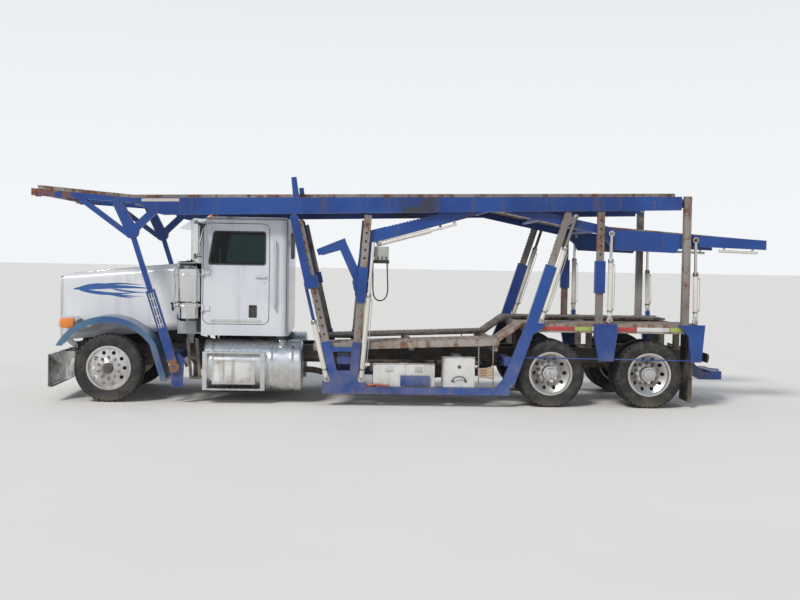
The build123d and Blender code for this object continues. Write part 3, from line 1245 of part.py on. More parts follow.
def fender_face(inner_y, depth):
    """The band between the fender's outer curve and the same curve moved in by a depth."""
    front = (st(FENDER_FRONT[0]), FENDER_FRONT[1])
    crown = (st(FENDER_CROWN[0]), FENDER_CROWN[1])
    rear = (st(FENDER_REAR[0]), FENDER_REAR[1])
    tail = (st(FENDER_TAIL[0]), FENDER_TAIL[1])
    with BuildSketch(Plane.XZ.offset(inner_y)) as outline:
        with BuildLine():
            ThreePointArc(front, crown, rear)
            Line(rear, tail)
            Line(tail, (tail[0] - depth, tail[1]))
            Line((tail[0] - depth, tail[1]), (rear[0] - depth, rear[1]))
            ThreePointArc(
                (rear[0] - depth, rear[1]),
                (crown[0], crown[1] - depth),
                (front[0] + depth, front[1]),
            )
            Line((front[0] + depth, front[1]), front)
        make_face()
    return outline.sketch


with BuildPart() as fenders:
    extrude(fender_face(FENDER_INNER, FENDER_SKIN), amount=FENDER_OUTER - FENDER_INNER)
    extrude(fender_face(FENDER_OUTER - FENDER_SKIN, LIP), amount=FENDER_SKIN)
    mirror(about=Plane.XZ)
    loft([hood_section(*row, 0) for row in HOOD_SECTIONS], ruled=True, mode=Mode.SUBTRACT)
save(fenders, "fenders")

# Bright fittings on the hood: the grille's upright surround and bars, and the headlamp pods with a turn
# lamp outboard
BAR_COUNT = 17
POD_Y = 800.0
with BuildPart() as hood_brightwork:
    with BuildSketch(Plane.YZ.offset(st(HOOD_NOSE) - 60)) as surround:
        with Locations((0, (GRILLE_BOTTOM + GRILLE_TOP) / 2)):
            Rectangle(2 * GRILLE_HALF + 90, GRILLE_TOP - GRILLE_BOTTOM + 90)
        fillet(surround.vertices(), 60)
        with Locations((0, (GRILLE_BOTTOM + GRILLE_TOP) / 2)):
            Rectangle(2 * GRILLE_HALF - 30, GRILLE_TOP - GRILLE_BOTTOM - 30, mode=Mode.SUBTRACT)
    extrude(amount=60)
    with BuildSketch(Plane.YZ.offset(st(HOOD_NOSE) - 40)):
        with Locations((0, (GRILLE_BOTTOM + GRILLE_TOP) / 2)):
            with GridLocations((2 * GRILLE_HALF - 60) / (BAR_COUNT - 1), 0, BAR_COUNT, 1):
                Rectangle(12, GRILLE_TOP - GRILLE_BOTTOM - 20)
    extrude(amount=30)
    with BuildSketch(Plane.YZ.offset(st(HOOD_NOSE) - 40)):
        with Locations((0, (GRILLE_BOTTOM + GRILLE_TOP) / 2)):
            Rectangle(2 * GRILLE_HALF - 20, 40)
    extrude(amount=30)
    pod = [(-690, 980), (-540, 1000), (-470, 1100), (-520, 1130), (-690, 1120)]
    extrude(side_face(pod, HOOD_SECTIONS[0][1] + 30), amount=330)
    lens_plane = Plane(origin=(st(-690), -POD_Y - 10, 1050), x_dir=(0, 1, 0), z_dir=(-1, 0, 0))
    with BuildSketch(lens_plane):
        with Locations((70, 0), (-80, 0)):
            Rectangle(130, 100)
    extrude(amount=18)
    mirror(about=Plane.XZ)
    loft([hood_section(*row, 0) for row in HOOD_SECTIONS], ruled=True, mode=Mode.SUBTRACT)
save(hood_brightwork, "hood_brightwork")

# Upper deck side rails, from the tail pivots to the nose, with the front knee brackets and post heads
UPPER_FRONT = (250.0, 2760.0)
RAIL_END = 7750.0
RAIL_TOP_END = 2920.0
RAIL_BOTTOM_FRONT = (750.0, 2540.0)
RAIL_BOTTOM_END = 2735.0
NOSE_TIP = (-NOSE_REACH, 2862.0)
KNEE = (320.0, 2310.0)
UPPER_TUBES = (-900.0, 330.0, 1500.0, 2700.0, 4050.0, 6600.0, 7600.0)
TUBE_RADIUS = 35.0
UPPER_RUN = ((-960.0, 2870.0), (300.0, 2765.0), (7700.0, 2925.0))


def under_run(run, station):
    """Centre of a cross tube that carries a runway at a station."""
    for (x0, z0), (x1, z1) in zip(run, run[1:]):
        if x0 <= station <= x1:
            height = z0 + (z1 - z0) * (station - x0) / (x1 - x0)
            drop = (TUBE_RADIUS + RUN_GAP) / cos(atan2(z1 - z0, x1 - x0))
    return station, height - RUNWAY_PLATE - drop


with BuildPart() as upper_rails:
    rail = [
        UPPER_FRONT,
        (RAIL_END, RAIL_TOP_END),
        (RAIL_END, RAIL_BOTTOM_END),
        RAIL_BOTTOM_FRONT,
        (600.0, 2570.0),
        (400.0, 2700.0),
    ]
    extrude(side_face(rail, RACK_INNER), amount=RACK_BAR)
    nose = [NOSE_TIP, (UPPER_FRONT[0] + 60, UPPER_FRONT[1] + 2), (400.0, 2690.0), (-NOSE_REACH, 2770.0)]
    extrude(side_face(nose, RACK_INNER), amount=RACK_BAR)
    leg = bar((110.0, 2740.0), KNEE, 130.0, 150.0)
    extrude(side_face(leg, RACK_INNER), amount=RACK_BAR)
    extrude(side_face(bar((620.0, 2600.0), KNEE, 100.0), RACK_INNER), amount=RACK_BAR)
    extrude(side_face(bar((-430.0, 2790.0), (250.0, 2290.0), 70.0), RACK_INNER), amount=RACK_BAR)
    extrude(disc(95, cross_plane(KNEE, RACK_INNER)), amount=RACK_BAR)
    # The knee is a fork round the leg's head
    fork = [(200, 2395), (440, 2395), (470, 2190), (250, 2190)]
    extrude(side_face(fork, MAST_Y - 13), amount=46, mode=Mode.SUBTRACT)
    extrude(disc(PIVOT_RADIUS, cross_plane(KNEE, RACK_INNER)), amount=RACK_BAR)
    # Hinge plates beside the tail masts
    plate = [(7500, 2780), (7860, 2770), (7900, 2830), (7860, 2890), (7500, 2900)]
    extrude(side_face(plate, RACK_INNER - 40), amount=30)
    lug = [(7500, 2780), (7700, 2780), (7700, 2900), (7500, 2900)]
    extrude(side_face(lug, RACK_INNER - 40), amount=50)
    hole_plane = cross_plane(UPPER_PIVOT, RACK_INNER - 60)
    extrude(disc(PIVOT_RADIUS + PIN_GAP, hole_plane), amount=60, mode=Mode.SUBTRACT)
    # Post head above the rail
    head = bar((2520, 2700), (2470, 3080), 90, 70)
    extrude(side_face(head, RACK_INNER + 10), amount=RACK_BAR - 20)
    for station in UPPER_TUBES:
        extrude(disc(TUBE_RADIUS, cross_plane(under_run(UPPER_RUN, station), 0)), amount=RACK_INNER + 5)
    mirror(about=Plane.XZ)
save(upper_rails, "upper_rails")

# Upper deck runways: pressed plates with a turned lip along each edge
with BuildPart() as upper_runways:
    strip = [(x, z) for x, z in UPPER_RUN]
    strip += [(x, z - RUNWAY_PLATE) for x, z in reversed(UPPER_RUN)]
    extrude(side_face(strip, RUNWAY_OUTER - RUNWAY_WIDTH), amount=RUNWAY_WIDTH)
    lip_strip = [(x, z + RUNWAY_LIP) for x, z in UPPER_RUN]
    lip_strip += list(reversed(UPPER_RUN))
    for near in (RUNWAY_OUTER - RUNWAY_WIDTH, RUNWAY_OUTER - 12):
        extrude(side_face(lip_strip, near), amount=12)
    mirror(about=Plane.XZ)
save(upper_runways, "upper_runways")

# Middle deck arms: bent side members from the pivot on mast B to the tail
ELBOW = (3510.0, 2300.0)
ARM_BEND = (5130.0, 2740.0)
ARM_LEAD = 70.0
ARM_DEPTH = 170.0
ARM_BEND_DEPTH = 130.0
TOOTH_DEPTH = 12.0
TOOTH_LENGTH = 34.0
TOOTH_PITCH = 50.0
ARM_TEETH = (250.0, 20)
EYE_PIN_HOLE = PIN_RADIUS + EYE_PLAY
MID_RUN = ((5080.0, 2790.0), (5400.0, 2765.0), (6750.0, 2500.0), (TAIL_REACH, 2345.0))
MID_TUBES = (5200.0, 5950.0, 6700.0, 7740.0, 8880.0)


def off_line(line, distance, offset):
    """The point at a distance along a line of two points and an offset to its upper left side."""
    dx, dz, _ = slope(*line)
    x, z = along(*line, distance)
    return x - dz * offset, z + dx * offset


def arm_half(distance):
    """Half depth of the bent arm's long part at a distance behind its elbow."""
    share = (distance + ARM_LEAD) / (slope(ELBOW, ARM_BEND)[2] + ARM_LEAD)
    return (ARM_DEPTH + (ARM_BEND_DEPTH - ARM_DEPTH) * share) / 2


def tooth(line, distance, edge):
    """A saw-tooth notch in the edge of a bar along a line."""
    return [
        off_line(line, distance, edge + 2),
        off_line(line, distance, edge - TOOTH_DEPTH),
        off_line(line, distance + TOOTH_LENGTH, edge + 2),
    ]


with BuildPart() as mid_arms:
    extrude(side_face(bar(MID_PIVOT, ELBOW, 150, 160), ARM_INNER), amount=ARM_BAR)
    long_part = bar(along(ELBOW, ARM_BEND, -ARM_LEAD), ARM_BEND, ARM_DEPTH, ARM_BEND_DEPTH)
    extrude(side_face(long_part, ARM_INNER), amount=ARM_BAR)
    first, count = ARM_TEETH
    for number in range(count):
        distance = first + number * TOOTH_PITCH
        notch = tooth((ELBOW, ARM_BEND), distance, arm_half(distance))
        extrude(side_face(notch, ARM_INNER), amount=ARM_BAR, mode=Mode.SUBTRACT)
    front_top = (3130.0, 2200.0)
    extrude(side_face(bar(MID_PIVOT, front_top, 130, 120), ARM_INNER), amount=ARM_BAR)
    extrude(side_face(bar((3190.0, 2215.0), (2800.0, 2075.0), 130, 90), ARM_INNER), amount=ARM_BAR)
    extrude(disc(110, cross_plane(MID_PIVOT, ARM_INNER)), amount=ARM_BAR)
    tail = [
        (5060, 2800),
        (5400, 2775),
        (6750, 2500),
        (6800, 2465),
        (TAIL_REACH, 2345),
        (TAIL_REACH, 2215),
        (7780, 2250),
        (7700, 2150),
        (6830, 2180),
        (6760, 2290),
        (6620, 2400),
        (5300, 2670),
        (5060, 2670),
    ]
    extrude(side_face(tail, ARM_INNER), amount=ARM_BAR)
    pivot_bore = disc(PIVOT_RADIUS + PIN_GAP, cross_plane(MID_PIVOT, ARM_INNER))
    extrude(pivot_bore, amount=ARM_BAR, mode=Mode.SUBTRACT)
    tubes = [(3150.0, 2180.0), (4750.0, 2640.0)] + [under_run(MID_RUN, station) for station in MID_TUBES]
    for tube in tubes:
        extrude(disc(TUBE_RADIUS, cross_plane(tube, 0)), amount=ARM_INNER + 5)
    # Bores for the pins on the cylinders' eyes
    for _, eye in (CYL_C, CYL_D):
        extrude(disc(EYE_PIN_HOLE, cross_plane(eye, ARM_INNER)), amount=ARM_BAR, mode=Mode.SUBTRACT)
    mirror(about=Plane.XZ)
save(mid_arms, "mid_arms")

# Cylinders of the middle deck's front flaps, each on two lugs below its bent arm
FLAP_CYL_SPAN = (120.0, 1180.0)
FLAP_CYL_DROP = 125.0
FLAP_CYL_RADIUS = 30.0
FLAP_CYL_ROD = 14.0
FLAP_CYL_BARREL = 700.0
with BuildPart() as arm_cylinders:
    front, back = [off_line((ELBOW, ARM_BEND), distance, -FLAP_CYL_DROP) for distance in FLAP_CYL_SPAN]
    arm_y = ARM_OUTER - ARM_BAR / 2
    extrude(disc(FLAP_CYL_RADIUS, rod_plane(front, back, arm_y)), amount=FLAP_CYL_BARREL)
    extrude(disc(FLAP_CYL_ROD, rod_plane(front, back, arm_y)), amount=slope(front, back)[2])
    for distance in (FLAP_CYL_SPAN[0] + 20, FLAP_CYL_SPAN[1] - 20):
        lug = [
            off_line((ELBOW, ARM_BEND), distance - 20, -arm_half(distance - 20)),
            off_line((ELBOW, ARM_BEND), distance - 20, -FLAP_CYL_DROP - 18),
            off_line((ELBOW, ARM_BEND), distance + 20, -FLAP_CYL_DROP - 18),
            off_line((ELBOW, ARM_BEND), distance + 20, -arm_half(distance + 20)),
        ]
        extrude(side_face(lug, arm_y - 15), amount=30)
    mirror(about=Plane.XZ)
save(arm_cylinders, "arm_cylinders")

# Middle deck runways
with BuildPart() as mid_runways:
    top = list(MID_RUN)
    under = [(x, z - RUNWAY_PLATE) for x, z in reversed(MID_RUN)]
    extrude(side_face(top + under, RUNWAY_OUTER - RUNWAY_WIDTH), amount=RUNWAY_WIDTH)
    mirror(about=Plane.XZ)
save(mid_runways, "mid_runways")

# The two pairs of cylinders that carry the middle deck; each rod's eye holds the pin that turns in the arm
BARREL_C = 830.0
BARREL_D = 665.0
ROD_LOW_C = 380.0
ROD_LOW_D = 490.0
for name, (foot, eye), barrel, rod_low in (
    ("mid", CYL_C, BARREL_C, ROD_LOW_C),
    ("tail", CYL_D, BARREL_D, ROD_LOW_D),
):
    reach = slope(foot, eye)[2]
    with BuildPart() as barrels:
        extrude(disc(BARREL_RADIUS, rod_plane(along(foot, eye, 60), eye, MAST_Y)), amount=barrel - 60)
        extrude(disc(EYE_RADIUS, cross_plane(foot, MAST_Y - 15)), amount=30)
        extrude(side_face(bar(foot, along(foot, eye, 80), 50), MAST_Y - 15), amount=30)
        extrude(disc(PIN_RADIUS + PIN_GAP, cross_plane(foot, MAST_Y - 40)), amount=80, mode=Mode.SUBTRACT)
        rod_bore = disc(ROD_BORE, rod_plane(along(foot, eye, 75), eye, MAST_Y))
        extrude(rod_bore, amount=barrel, mode=Mode.SUBTRACT)
        mirror(about=Plane.XZ)
    save(barrels, name + "_cylinder_barrels")
    with BuildPart() as rods:
        low = along(foot, eye, rod_low)
        extrude(disc(ROD_RADIUS, rod_plane(low, eye, MAST_Y)), amount=reach - rod_low)
        extrude(disc(EYE_RADIUS, cross_plane(eye, MAST_Y - 15)), amount=30)
        extrude(disc(PIN_RADIUS, cross_plane(eye, ARM_INNER + SIDE_GAP)), amount=MAST_Y - ARM_INNER)
        mirror(about=Plane.XZ)
    save(rods, name + "_cylinder_rods")

# Sliders on mast A: a channel below the upper rail, a collar round the mast and the lift rod
SLIDER_TOP = 2100.0
SHOE_RADIUS = 55.0
SHOE_GAP = 1.0
COLLAR_LOW = 1300.0
COLLAR_HIGH = 1470.0


def rail_bottom(station):
    """Height of the upper rail's underside at a station."""
    share = (station - RAIL_BOTTOM_FRONT[0]) / (RAIL_END - RAIL_BOTTOM_FRONT[0])
    return RAIL_BOTTOM_FRONT[1] + (RAIL_BOTTOM_END - RAIL_BOTTOM_FRONT[1]) * share


def shoe_centre(point, line, radius):
    """Centre of a round shoe that runs below the rail, on the parallel to a line through a point."""
    dx, dz, _ = slope(*line)
    tilt = atan2(RAIL_BOTTOM_END - RAIL_BOTTOM_FRONT[1], RAIL_END - RAIL_BOTTOM_FRONT[0])
    height = rail_bottom(point[0]) - (radius + SHOE_GAP) / cos(tilt)
    rise = (height - point[1]) / (dz - dx * sin(tilt) / cos(tilt))
    return point[0] + dx * rise, point[1] + dz * rise


with BuildPart() as mast_sliders:
    foot, head = MAST_A
    dx, dz, _ = slope(foot, head)
    collar = bar(along(foot, head, COLLAR_LOW), along(foot, head, COLLAR_HIGH), MAST_DEPTH + 50)
    extrude(side_face(collar, RACK_INNER), amount=RACK_BAR)
    shift = MAST_DEPTH / 2 + 5
    front_low = along(foot, head, COLLAR_LOW)
    front_high = along(foot, head, SLIDER_TOP)
    low_pt = (front_low[0] - dz * shift, front_low[1] + dx * shift)
    high_pt = (front_high[0] - dz * shift, front_high[1] + dx * shift)
    hole = bar(along(foot, head, 1200), along(foot, head, 2400), MAST_DEPTH + 2 * RUN_GAP)
    hole_width = MAST_WIDTH + 2 * RUN_GAP
    shoe = shoe_centre(high_pt, MAST_A, SHOE_RADIUS)
    extrude(side_face(bar(low_pt, shoe, 110), RACK_INNER), amount=RACK_BAR)
    extrude(disc(SHOE_RADIUS, cross_plane(shoe, RACK_INNER)), amount=RACK_BAR)
    extrude(side_face(hole, MAST_Y - hole_width / 2), amount=hole_width, mode=Mode.SUBTRACT)
    rod_end = along(CYL_A_FOOT, CYL_A_EYE, 100)
    rod_reach = slope(rod_end, CYL_A_EYE)[2]
    extrude(disc(ROD_RADIUS, rod_plane(rod_end, CYL_A_EYE, MAST_Y)), amount=rod_reach)
    mirror(about=Plane.XZ)
save(mast_sliders, "mast_sliders")

# Sliding diagonal masts with their ratchet teeth and lift rods
MAST_TEETH = (500.0, 18)
with BuildPart() as diagonal_masts:
    low = along(DIAGONAL_BEND, DIAGONAL_HEAD, 300)
    high = along(DIAGONAL_BEND, DIAGONAL_HEAD, 1480)
    shoe = shoe_centre(high, (DIAGONAL_BEND, DIAGONAL_HEAD), 50.0)
    extrude(side_face(bar(low, shoe, 100), MAST_Y - MAST_WIDTH / 2), amount=MAST_WIDTH)
    extrude(disc(50, cross_plane(shoe, MAST_Y - MAST_WIDTH / 2)), amount=MAST_WIDTH)
    first, count = MAST_TEETH
    for number in range(count):
        notch = tooth((DIAGONAL_BEND, DIAGONAL_HEAD), first + number * TOOTH_PITCH, MAST_DEPTH / 2)
        extrude(side_face(notch, MAST_Y - MAST_WIDTH / 2), amount=MAST_WIDTH, mode=Mode.SUBTRACT)
    rod_end = along(CYL_E_FOOT, CYL_E_EYE, 800)
    rod_reach = slope(rod_end, CYL_E_EYE)[2]
    extrude(disc(ROD_RADIUS, rod_plane(rod_end, CYL_E_EYE, MAST_Y)), amount=rod_reach)
    extrude(disc(36, cross_plane(CYL_E_EYE, MAST_Y - 20)), amount=40)
    extrude(side_face(bar(along(DIAGONAL_BEND, DIAGONAL_HEAD, 1400), CYL_E_EYE, 60), MAST_Y - 20), amount=40)
    mirror(about=Plane.XZ)
save(diagonal_masts, "diagonal_masts")

# Front legs: a lower channel pinned at the outrigger and an upper strut that slides out of it
LEG_CHANNEL = 1080.0
LEG_DEPTH = 120.0
with BuildPart() as front_leg_channels:
    channel = bar(along(LEG_FOOT, KNEE, 60), along(LEG_FOOT, KNEE, LEG_CHANNEL), LEG_DEPTH)
    extrude(side_face(channel, RACK_INNER + 22), amount=RACK_BAR - 22)
    extrude(disc(70, cross_plane(LEG_FOOT, RACK_INNER + 22)), amount=RACK_BAR - 22)
    foot_bore = disc(PIVOT_RADIUS + PIN_GAP, cross_plane(LEG_FOOT, RACK_INNER))
    extrude(foot_bore, amount=RACK_BAR, mode=Mode.SUBTRACT)
    slot = bar(along(LEG_FOOT, KNEE, 160), along(LEG_FOOT, KNEE, LEG_CHANNEL + 10), 70 + 2 * RUN_GAP)
    extrude(side_face(slot, MAST_Y - 8 - RUN_GAP), amount=36 + 2 * RUN_GAP, mode=Mode.SUBTRACT)
    mirror(about=Plane.XZ)
save(front_leg_channels, "front_leg_channels")
with BuildPart() as front_leg_struts:
    extrude(side_face(bar(along(LEG_FOOT, KNEE, 400), KNEE, 70), MAST_Y - 8), amount=36)
    extrude(disc(48, cross_plane(KNEE, MAST_Y - 8)), amount=36)
    extrude(disc(PIVOT_RADIUS + KNEE_PLAY, cross_plane(KNEE, MAST_Y - 8)), amount=36, mode=Mode.SUBTRACT)
    mirror(about=Plane.XZ)
save(front_leg_struts, "front_leg_struts")
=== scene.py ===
from math import cos, pi, radians, sin

import bmesh
import bpy
from mathutils import Matrix, Vector


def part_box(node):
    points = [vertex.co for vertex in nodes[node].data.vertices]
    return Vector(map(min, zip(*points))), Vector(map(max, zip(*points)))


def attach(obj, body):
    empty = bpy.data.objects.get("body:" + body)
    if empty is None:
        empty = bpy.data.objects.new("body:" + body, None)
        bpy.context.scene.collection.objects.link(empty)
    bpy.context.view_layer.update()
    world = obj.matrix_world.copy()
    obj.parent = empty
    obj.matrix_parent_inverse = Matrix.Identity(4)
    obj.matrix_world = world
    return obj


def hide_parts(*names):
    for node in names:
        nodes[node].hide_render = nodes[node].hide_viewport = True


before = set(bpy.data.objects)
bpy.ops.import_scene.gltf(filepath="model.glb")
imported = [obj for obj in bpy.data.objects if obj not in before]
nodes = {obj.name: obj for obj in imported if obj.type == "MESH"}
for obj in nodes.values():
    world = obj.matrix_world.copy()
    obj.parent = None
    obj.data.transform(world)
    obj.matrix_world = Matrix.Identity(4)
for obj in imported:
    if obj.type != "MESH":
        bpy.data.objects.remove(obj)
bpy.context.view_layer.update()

scene = bpy.context.scene

# Studio: a plain pale floor, one large soft sun from the front left and a pale sky all round.
# The camera stands where the photograph was taken, level with the cab's door handle.


def shader_node(tree, kind, feeds=None, **settings):
    """Add one shader node, set its options, and link or set its inputs by name or number."""
    made = tree.nodes.new("ShaderNode" + kind)
    for option, value in settings.items():
        setattr(made, option, value)
    for socket, value in (feeds or {}).items():
        if isinstance(value, bpy.types.NodeSocket):
            tree.links.new(value, made.inputs[socket])
        else:
            made.inputs[socket].default_value = value
    return made


def clouds(place, scale, detail=6.0, roughness=0.6):
    """Soft random patches between 0 and 1."""
    feeds = {"Vector": place, "Scale": scale, "Detail": detail, "Roughness": roughness}
    return shader_node(place.id_data, "TexNoise", feeds).outputs[0]


def worked_out(kind, *values, clamp=False):
    """One sum on up to three values, in the tree of those that are other nodes' outputs."""
    tree = next(value.id_data for value in values if isinstance(value, bpy.types.NodeSocket))
    return shader_node(tree, "Math", dict(enumerate(values)), operation=kind, use_clamp=clamp).outputs[0]


def product(first, *others):
    """Several values multiplied together."""
    for other in others:
        first = worked_out("MULTIPLY", first, other)
    return first


def blend_in(share, under, over):
    """The colour over laid on the colour under."""
    under, over = (
        (*colour, 1) if isinstance(colour, tuple) else colour for colour in (under, over)
    )
    return shader_node(share.id_data, "Mix", {0: share, 6: under, 7: over}, data_type="RGBA").outputs[2]


def ramp(value, low, high, to_low=0.0, to_high=1.0):
    """A smooth step of a value from low to high."""
    feeds = {0: value, 1: low, 2: high, 3: to_low, 4: to_high}
    return shader_node(value.id_data, "MapRange", feeds, interpolation_type="SMOOTHSTEP").outputs[0]


def object_place(tree):
    """The place of each point in the truck's own frame."""
    return shader_node(tree, "TexCoord").outputs["Object"]


def parted(vector):
    """A vector's three parts."""
    return shader_node(vector.id_data, "SeparateXYZ", {0: vector}).outputs


def dotted(first, second):
    """The dot product of two vectors."""
    feeds = {0: first, 1: second}
    return shader_node(first.id_data, "VectorMath", feeds, operation="DOT_PRODUCT").outputs["Value"]


def bumped(height, strength, distance):
    """A relief from a height."""
    feeds = {"Height": height, "Strength": strength, "Distance": distance}
    return shader_node(height.id_data, "Bump", feeds).outputs[0]


def new_material(name):
    """An empty material and its node tree."""
    made = bpy.data.materials.new(name)
    made.use_nodes = True
    return made, made.node_tree


def set_surface(material, **inputs):
    """Link or set inputs of a material's surface, with underscores for the spaces in their names."""
    for label, value in inputs.items():
        socket = material.node_tree.nodes["Principled BSDF"].inputs[label.replace("_", " ")]
        if isinstance(value, bpy.types.NodeSocket):
            material.node_tree.links.new(value, socket)
        else:
            socket.default_value = value


sky = bpy.data.worlds.new("pale_sky")
sky.use_nodes = True
sky.node_tree.nodes.clear()
ray = shader_node(sky.node_tree, "LightPath").outputs
seen = worked_out("ADD", ray["Is Camera Ray"], ray["Is Glossy Ray"], clamp=True)
seen = worked_out("ADD", seen, ray["Is Transmission Ray"], clamp=True)
up = parted(shader_node(sky.node_tree, "TexCoord").outputs["Generated"])[2]
tone = blend_in(ramp(up, 0.02, 0.75), (0.9, 0.92, 0.94), (0.4, 0.5, 0.62))
lit = shader_node(sky.node_tree, "Background", {0: (0.86, 0.92, 1.0, 1), 1: 0.62})
shown = shader_node(sky.node_tree, "Background", {0: tone, 1: 1.0})
both = shader_node(sky.node_tree, "MixShader", {0: seen, 1: lit.outputs[0], 2: shown.outputs[0]})
shader_node(sky.node_tree, "OutputWorld", {0: both.outputs[0]})
scene.world = sky

floor_paint, tree = new_material("pale_floor")
mottle = clouds(object_place(tree), 0.35)
set_surface(floor_paint, Roughness=0.9, Base_Color=blend_in(mottle, (0.66, 0.64, 0.61), (0.73, 0.71, 0.68)))
slab = bmesh.new()
bmesh.ops.create_grid(slab, x_segments=1, y_segments=1, size=150.0)
bmesh.ops.translate(slab, vec=(0, 0, -0.001), verts=slab.verts)
floor_mesh = bpy.data.meshes.new("floor")
slab.to_mesh(floor_mesh)
slab.free()
floor_mesh.materials.append(floor_paint)
floor = bpy.data.objects.new("floor", floor_mesh)
scene.collection.objects.link(floor)

sun_light = bpy.data.lights.new("soft_sun", "SUN")
sun_light.energy = 2.3
sun_light.angle = radians(14)
sun_light.color = (1.0, 0.97, 0.93)
sun = bpy.data.objects.new("soft_sun", sun_light)
sun.rotation_euler = (radians(44), radians(-10), radians(-24))
scene.collection.objects.link(sun)

lens = bpy.data.cameras.new("camera")
lens.lens = 51.3
lens.sensor_width = 36.0
lens.clip_end = 400.0
camera = bpy.data.objects.new("camera", lens)
stand = Vector((-0.785, -16.68, 2.06))
aim = (Vector((0.0, 0.0, 1.4)) - stand).to_track_quat("-Z", "Y").to_matrix().to_4x4()
camera.matrix_world = Matrix.Translation(stand) @ aim @ Matrix.Rotation(radians(1.0), 4, "Z")
scene.collection.objects.link(camera)
scene.camera = camera
scene.view_settings.view_transform = "Standard"

# Old paint: every painted part of the truck has stood outdoors for years. The enamel has faded in
# patches, dirty water has run down it, rust has broken through, edges are rubbed bare and dust lies low.
weathered = bpy.data.node_groups.new("weathered_surface", "ShaderNodeTree")
AGE_SHARES = ("Rust share", "Dust share", "Run share", "Fresh roughness", "Edge share")
for way, kind, labels in (
    ("INPUT", "Color", ("Fresh", "Faded")),
    ("INPUT", "Float", AGE_SHARES),
    ("OUTPUT", "Color", ("Color",)),
    ("OUTPUT", "Float", ("Roughness", "Height")),
):
    for label in labels:
        weathered.interface.new_socket(label, in_out=way, socket_type="NodeSocket" + kind)
given = weathered.nodes.new("NodeGroupInput").outputs
coordinates = shader_node(weathered, "TexCoord").outputs
place = coordinates["Object"]
level = parted(place)[2]
facing_up = parted(coordinates["Normal"])[2]
broad = clouds(place, 0.9, 3.0)
patches = clouds(place, 4.5, 9.0, 0.7)
fine = clouds(place, 38.0, 6.0, 0.7)
stretched = shader_node(weathered, "Mapping", {"Vector": place, "Scale": (11.0, 11.0, 0.9)}).outputs[0]
runs = clouds(stretched, 1.0, 6.0, 0.65)
rust_value = worked_out("MULTIPLY_ADD", fine, 0.25, product(patches, 0.5))
rust_value = worked_out("MULTIPLY_ADD", runs, 0.25, rust_value)
rounded = shader_node(weathered, "Bevel", {"Radius": 0.011}, samples=4).outputs[0]
flat = shader_node(weathered, "NewGeometry").outputs["True Normal"]
alike = dotted(rounded, flat)
edge = product(ramp(alike, 0.995, 0.86), ramp(patches, 0.36, 0.6))
edge = worked_out("MULTIPLY", edge, given["Edge share"], clamp=True)
rust_value = worked_out("MULTIPLY_ADD", edge, 0.16, rust_value)
rust_low = worked_out("MULTIPLY_ADD", given["Rust share"], -0.24, 0.66)
rust = ramp(rust_value, rust_low, worked_out("ADD", rust_low, 0.045))
dust = worked_out("MAXIMUM", ramp(level, 1.25, 0.15, 0.0, 0.85), ramp(facing_up, 0.35, 0.95, 0.0, 0.75))
dust = product(dust, ramp(patches, 0.3, 0.68))
dust = worked_out("MULTIPLY", dust, given["Dust share"], clamp=True)
enamel = blend_in(ramp(broad, 0.35, 0.65), given["Fresh"], given["Faded"])
enamel = blend_in(product(ramp(runs, 0.52, 0.7), given["Run share"]), enamel, (0.085, 0.07, 0.055))
enamel = blend_in(product(edge, ramp(fine, 0.62, 0.4)), enamel, (0.34, 0.32, 0.3))
enamel = blend_in(rust, enamel, blend_in(ramp(fine, 0.35, 0.62), (0.04, 0.02, 0.014), (0.24, 0.1, 0.045)))
enamel = blend_in(dust, enamel, (0.33, 0.28, 0.225))
worn = worked_out("MAXIMUM", rust, dust)
roughness = shader_node(weathered, "MapRange", {0: worn, 3: given["Fresh roughness"], 4: 0.85}).outputs[0]
height = worked_out("MULTIPLY_ADD", fine, 0.3, product(rust, 0.7))
result = weathered.nodes.new("NodeGroupOutput").inputs
for label, value in (("Color", enamel), ("Roughness", roughness), ("Height", height)):
    weathered.links.new(value, result[label])


def aged_finish(name, fresh, faded, *shares, bump=0.3, **fixed):
    """A material from the weathered surface; the shares are rust, dust, runs, gloss and rubbed edges."""
    made, tree = new_material(name)
    age = shader_node(tree, "Group", node_tree=weathered)
    age.name = "age"
    for label, value in (("Fresh", (*fresh, 1)), ("Faded", (*faded, 1)), *zip(AGE_SHARES, shares)):
        age.inputs[label].default_value = value
    relief = bumped(age.outputs["Height"], bump, 0.004)
    relief.node.name = "relief"
    set_surface(
        made, Base_Color=age.outputs["Color"], Roughness=age.outputs["Roughness"], Normal=relief, **fixed
    )
    return made


def aged(material, label="Color"):
    """One output of the weathered surface inside a material."""
    return material.node_tree.nodes["age"].outputs[label]


def deepen(material, share, depth):
    """Add a share of relief to a weathered material."""
    height = worked_out("MULTIPLY_ADD", share, depth, aged(material, "Height"))
    material.node_tree.links.new(height, material.node_tree.nodes["relief"].inputs["Height"])


def dress(material, *names):
    """Give CAD nodes their real finish."""
    for name in names:
        for slot in nodes[name].material_slots:
            slot.material = material


def blue_paint(name):
    """The rack's blue enamel, chalked and rubbed at its edges."""
    return aged_finish(
        name, (0.004, 0.034, 0.185), (0.009, 0.062, 0.27), 0.3, 0.34, 0.45, 0.38, 0.9, bump=0.35
    )


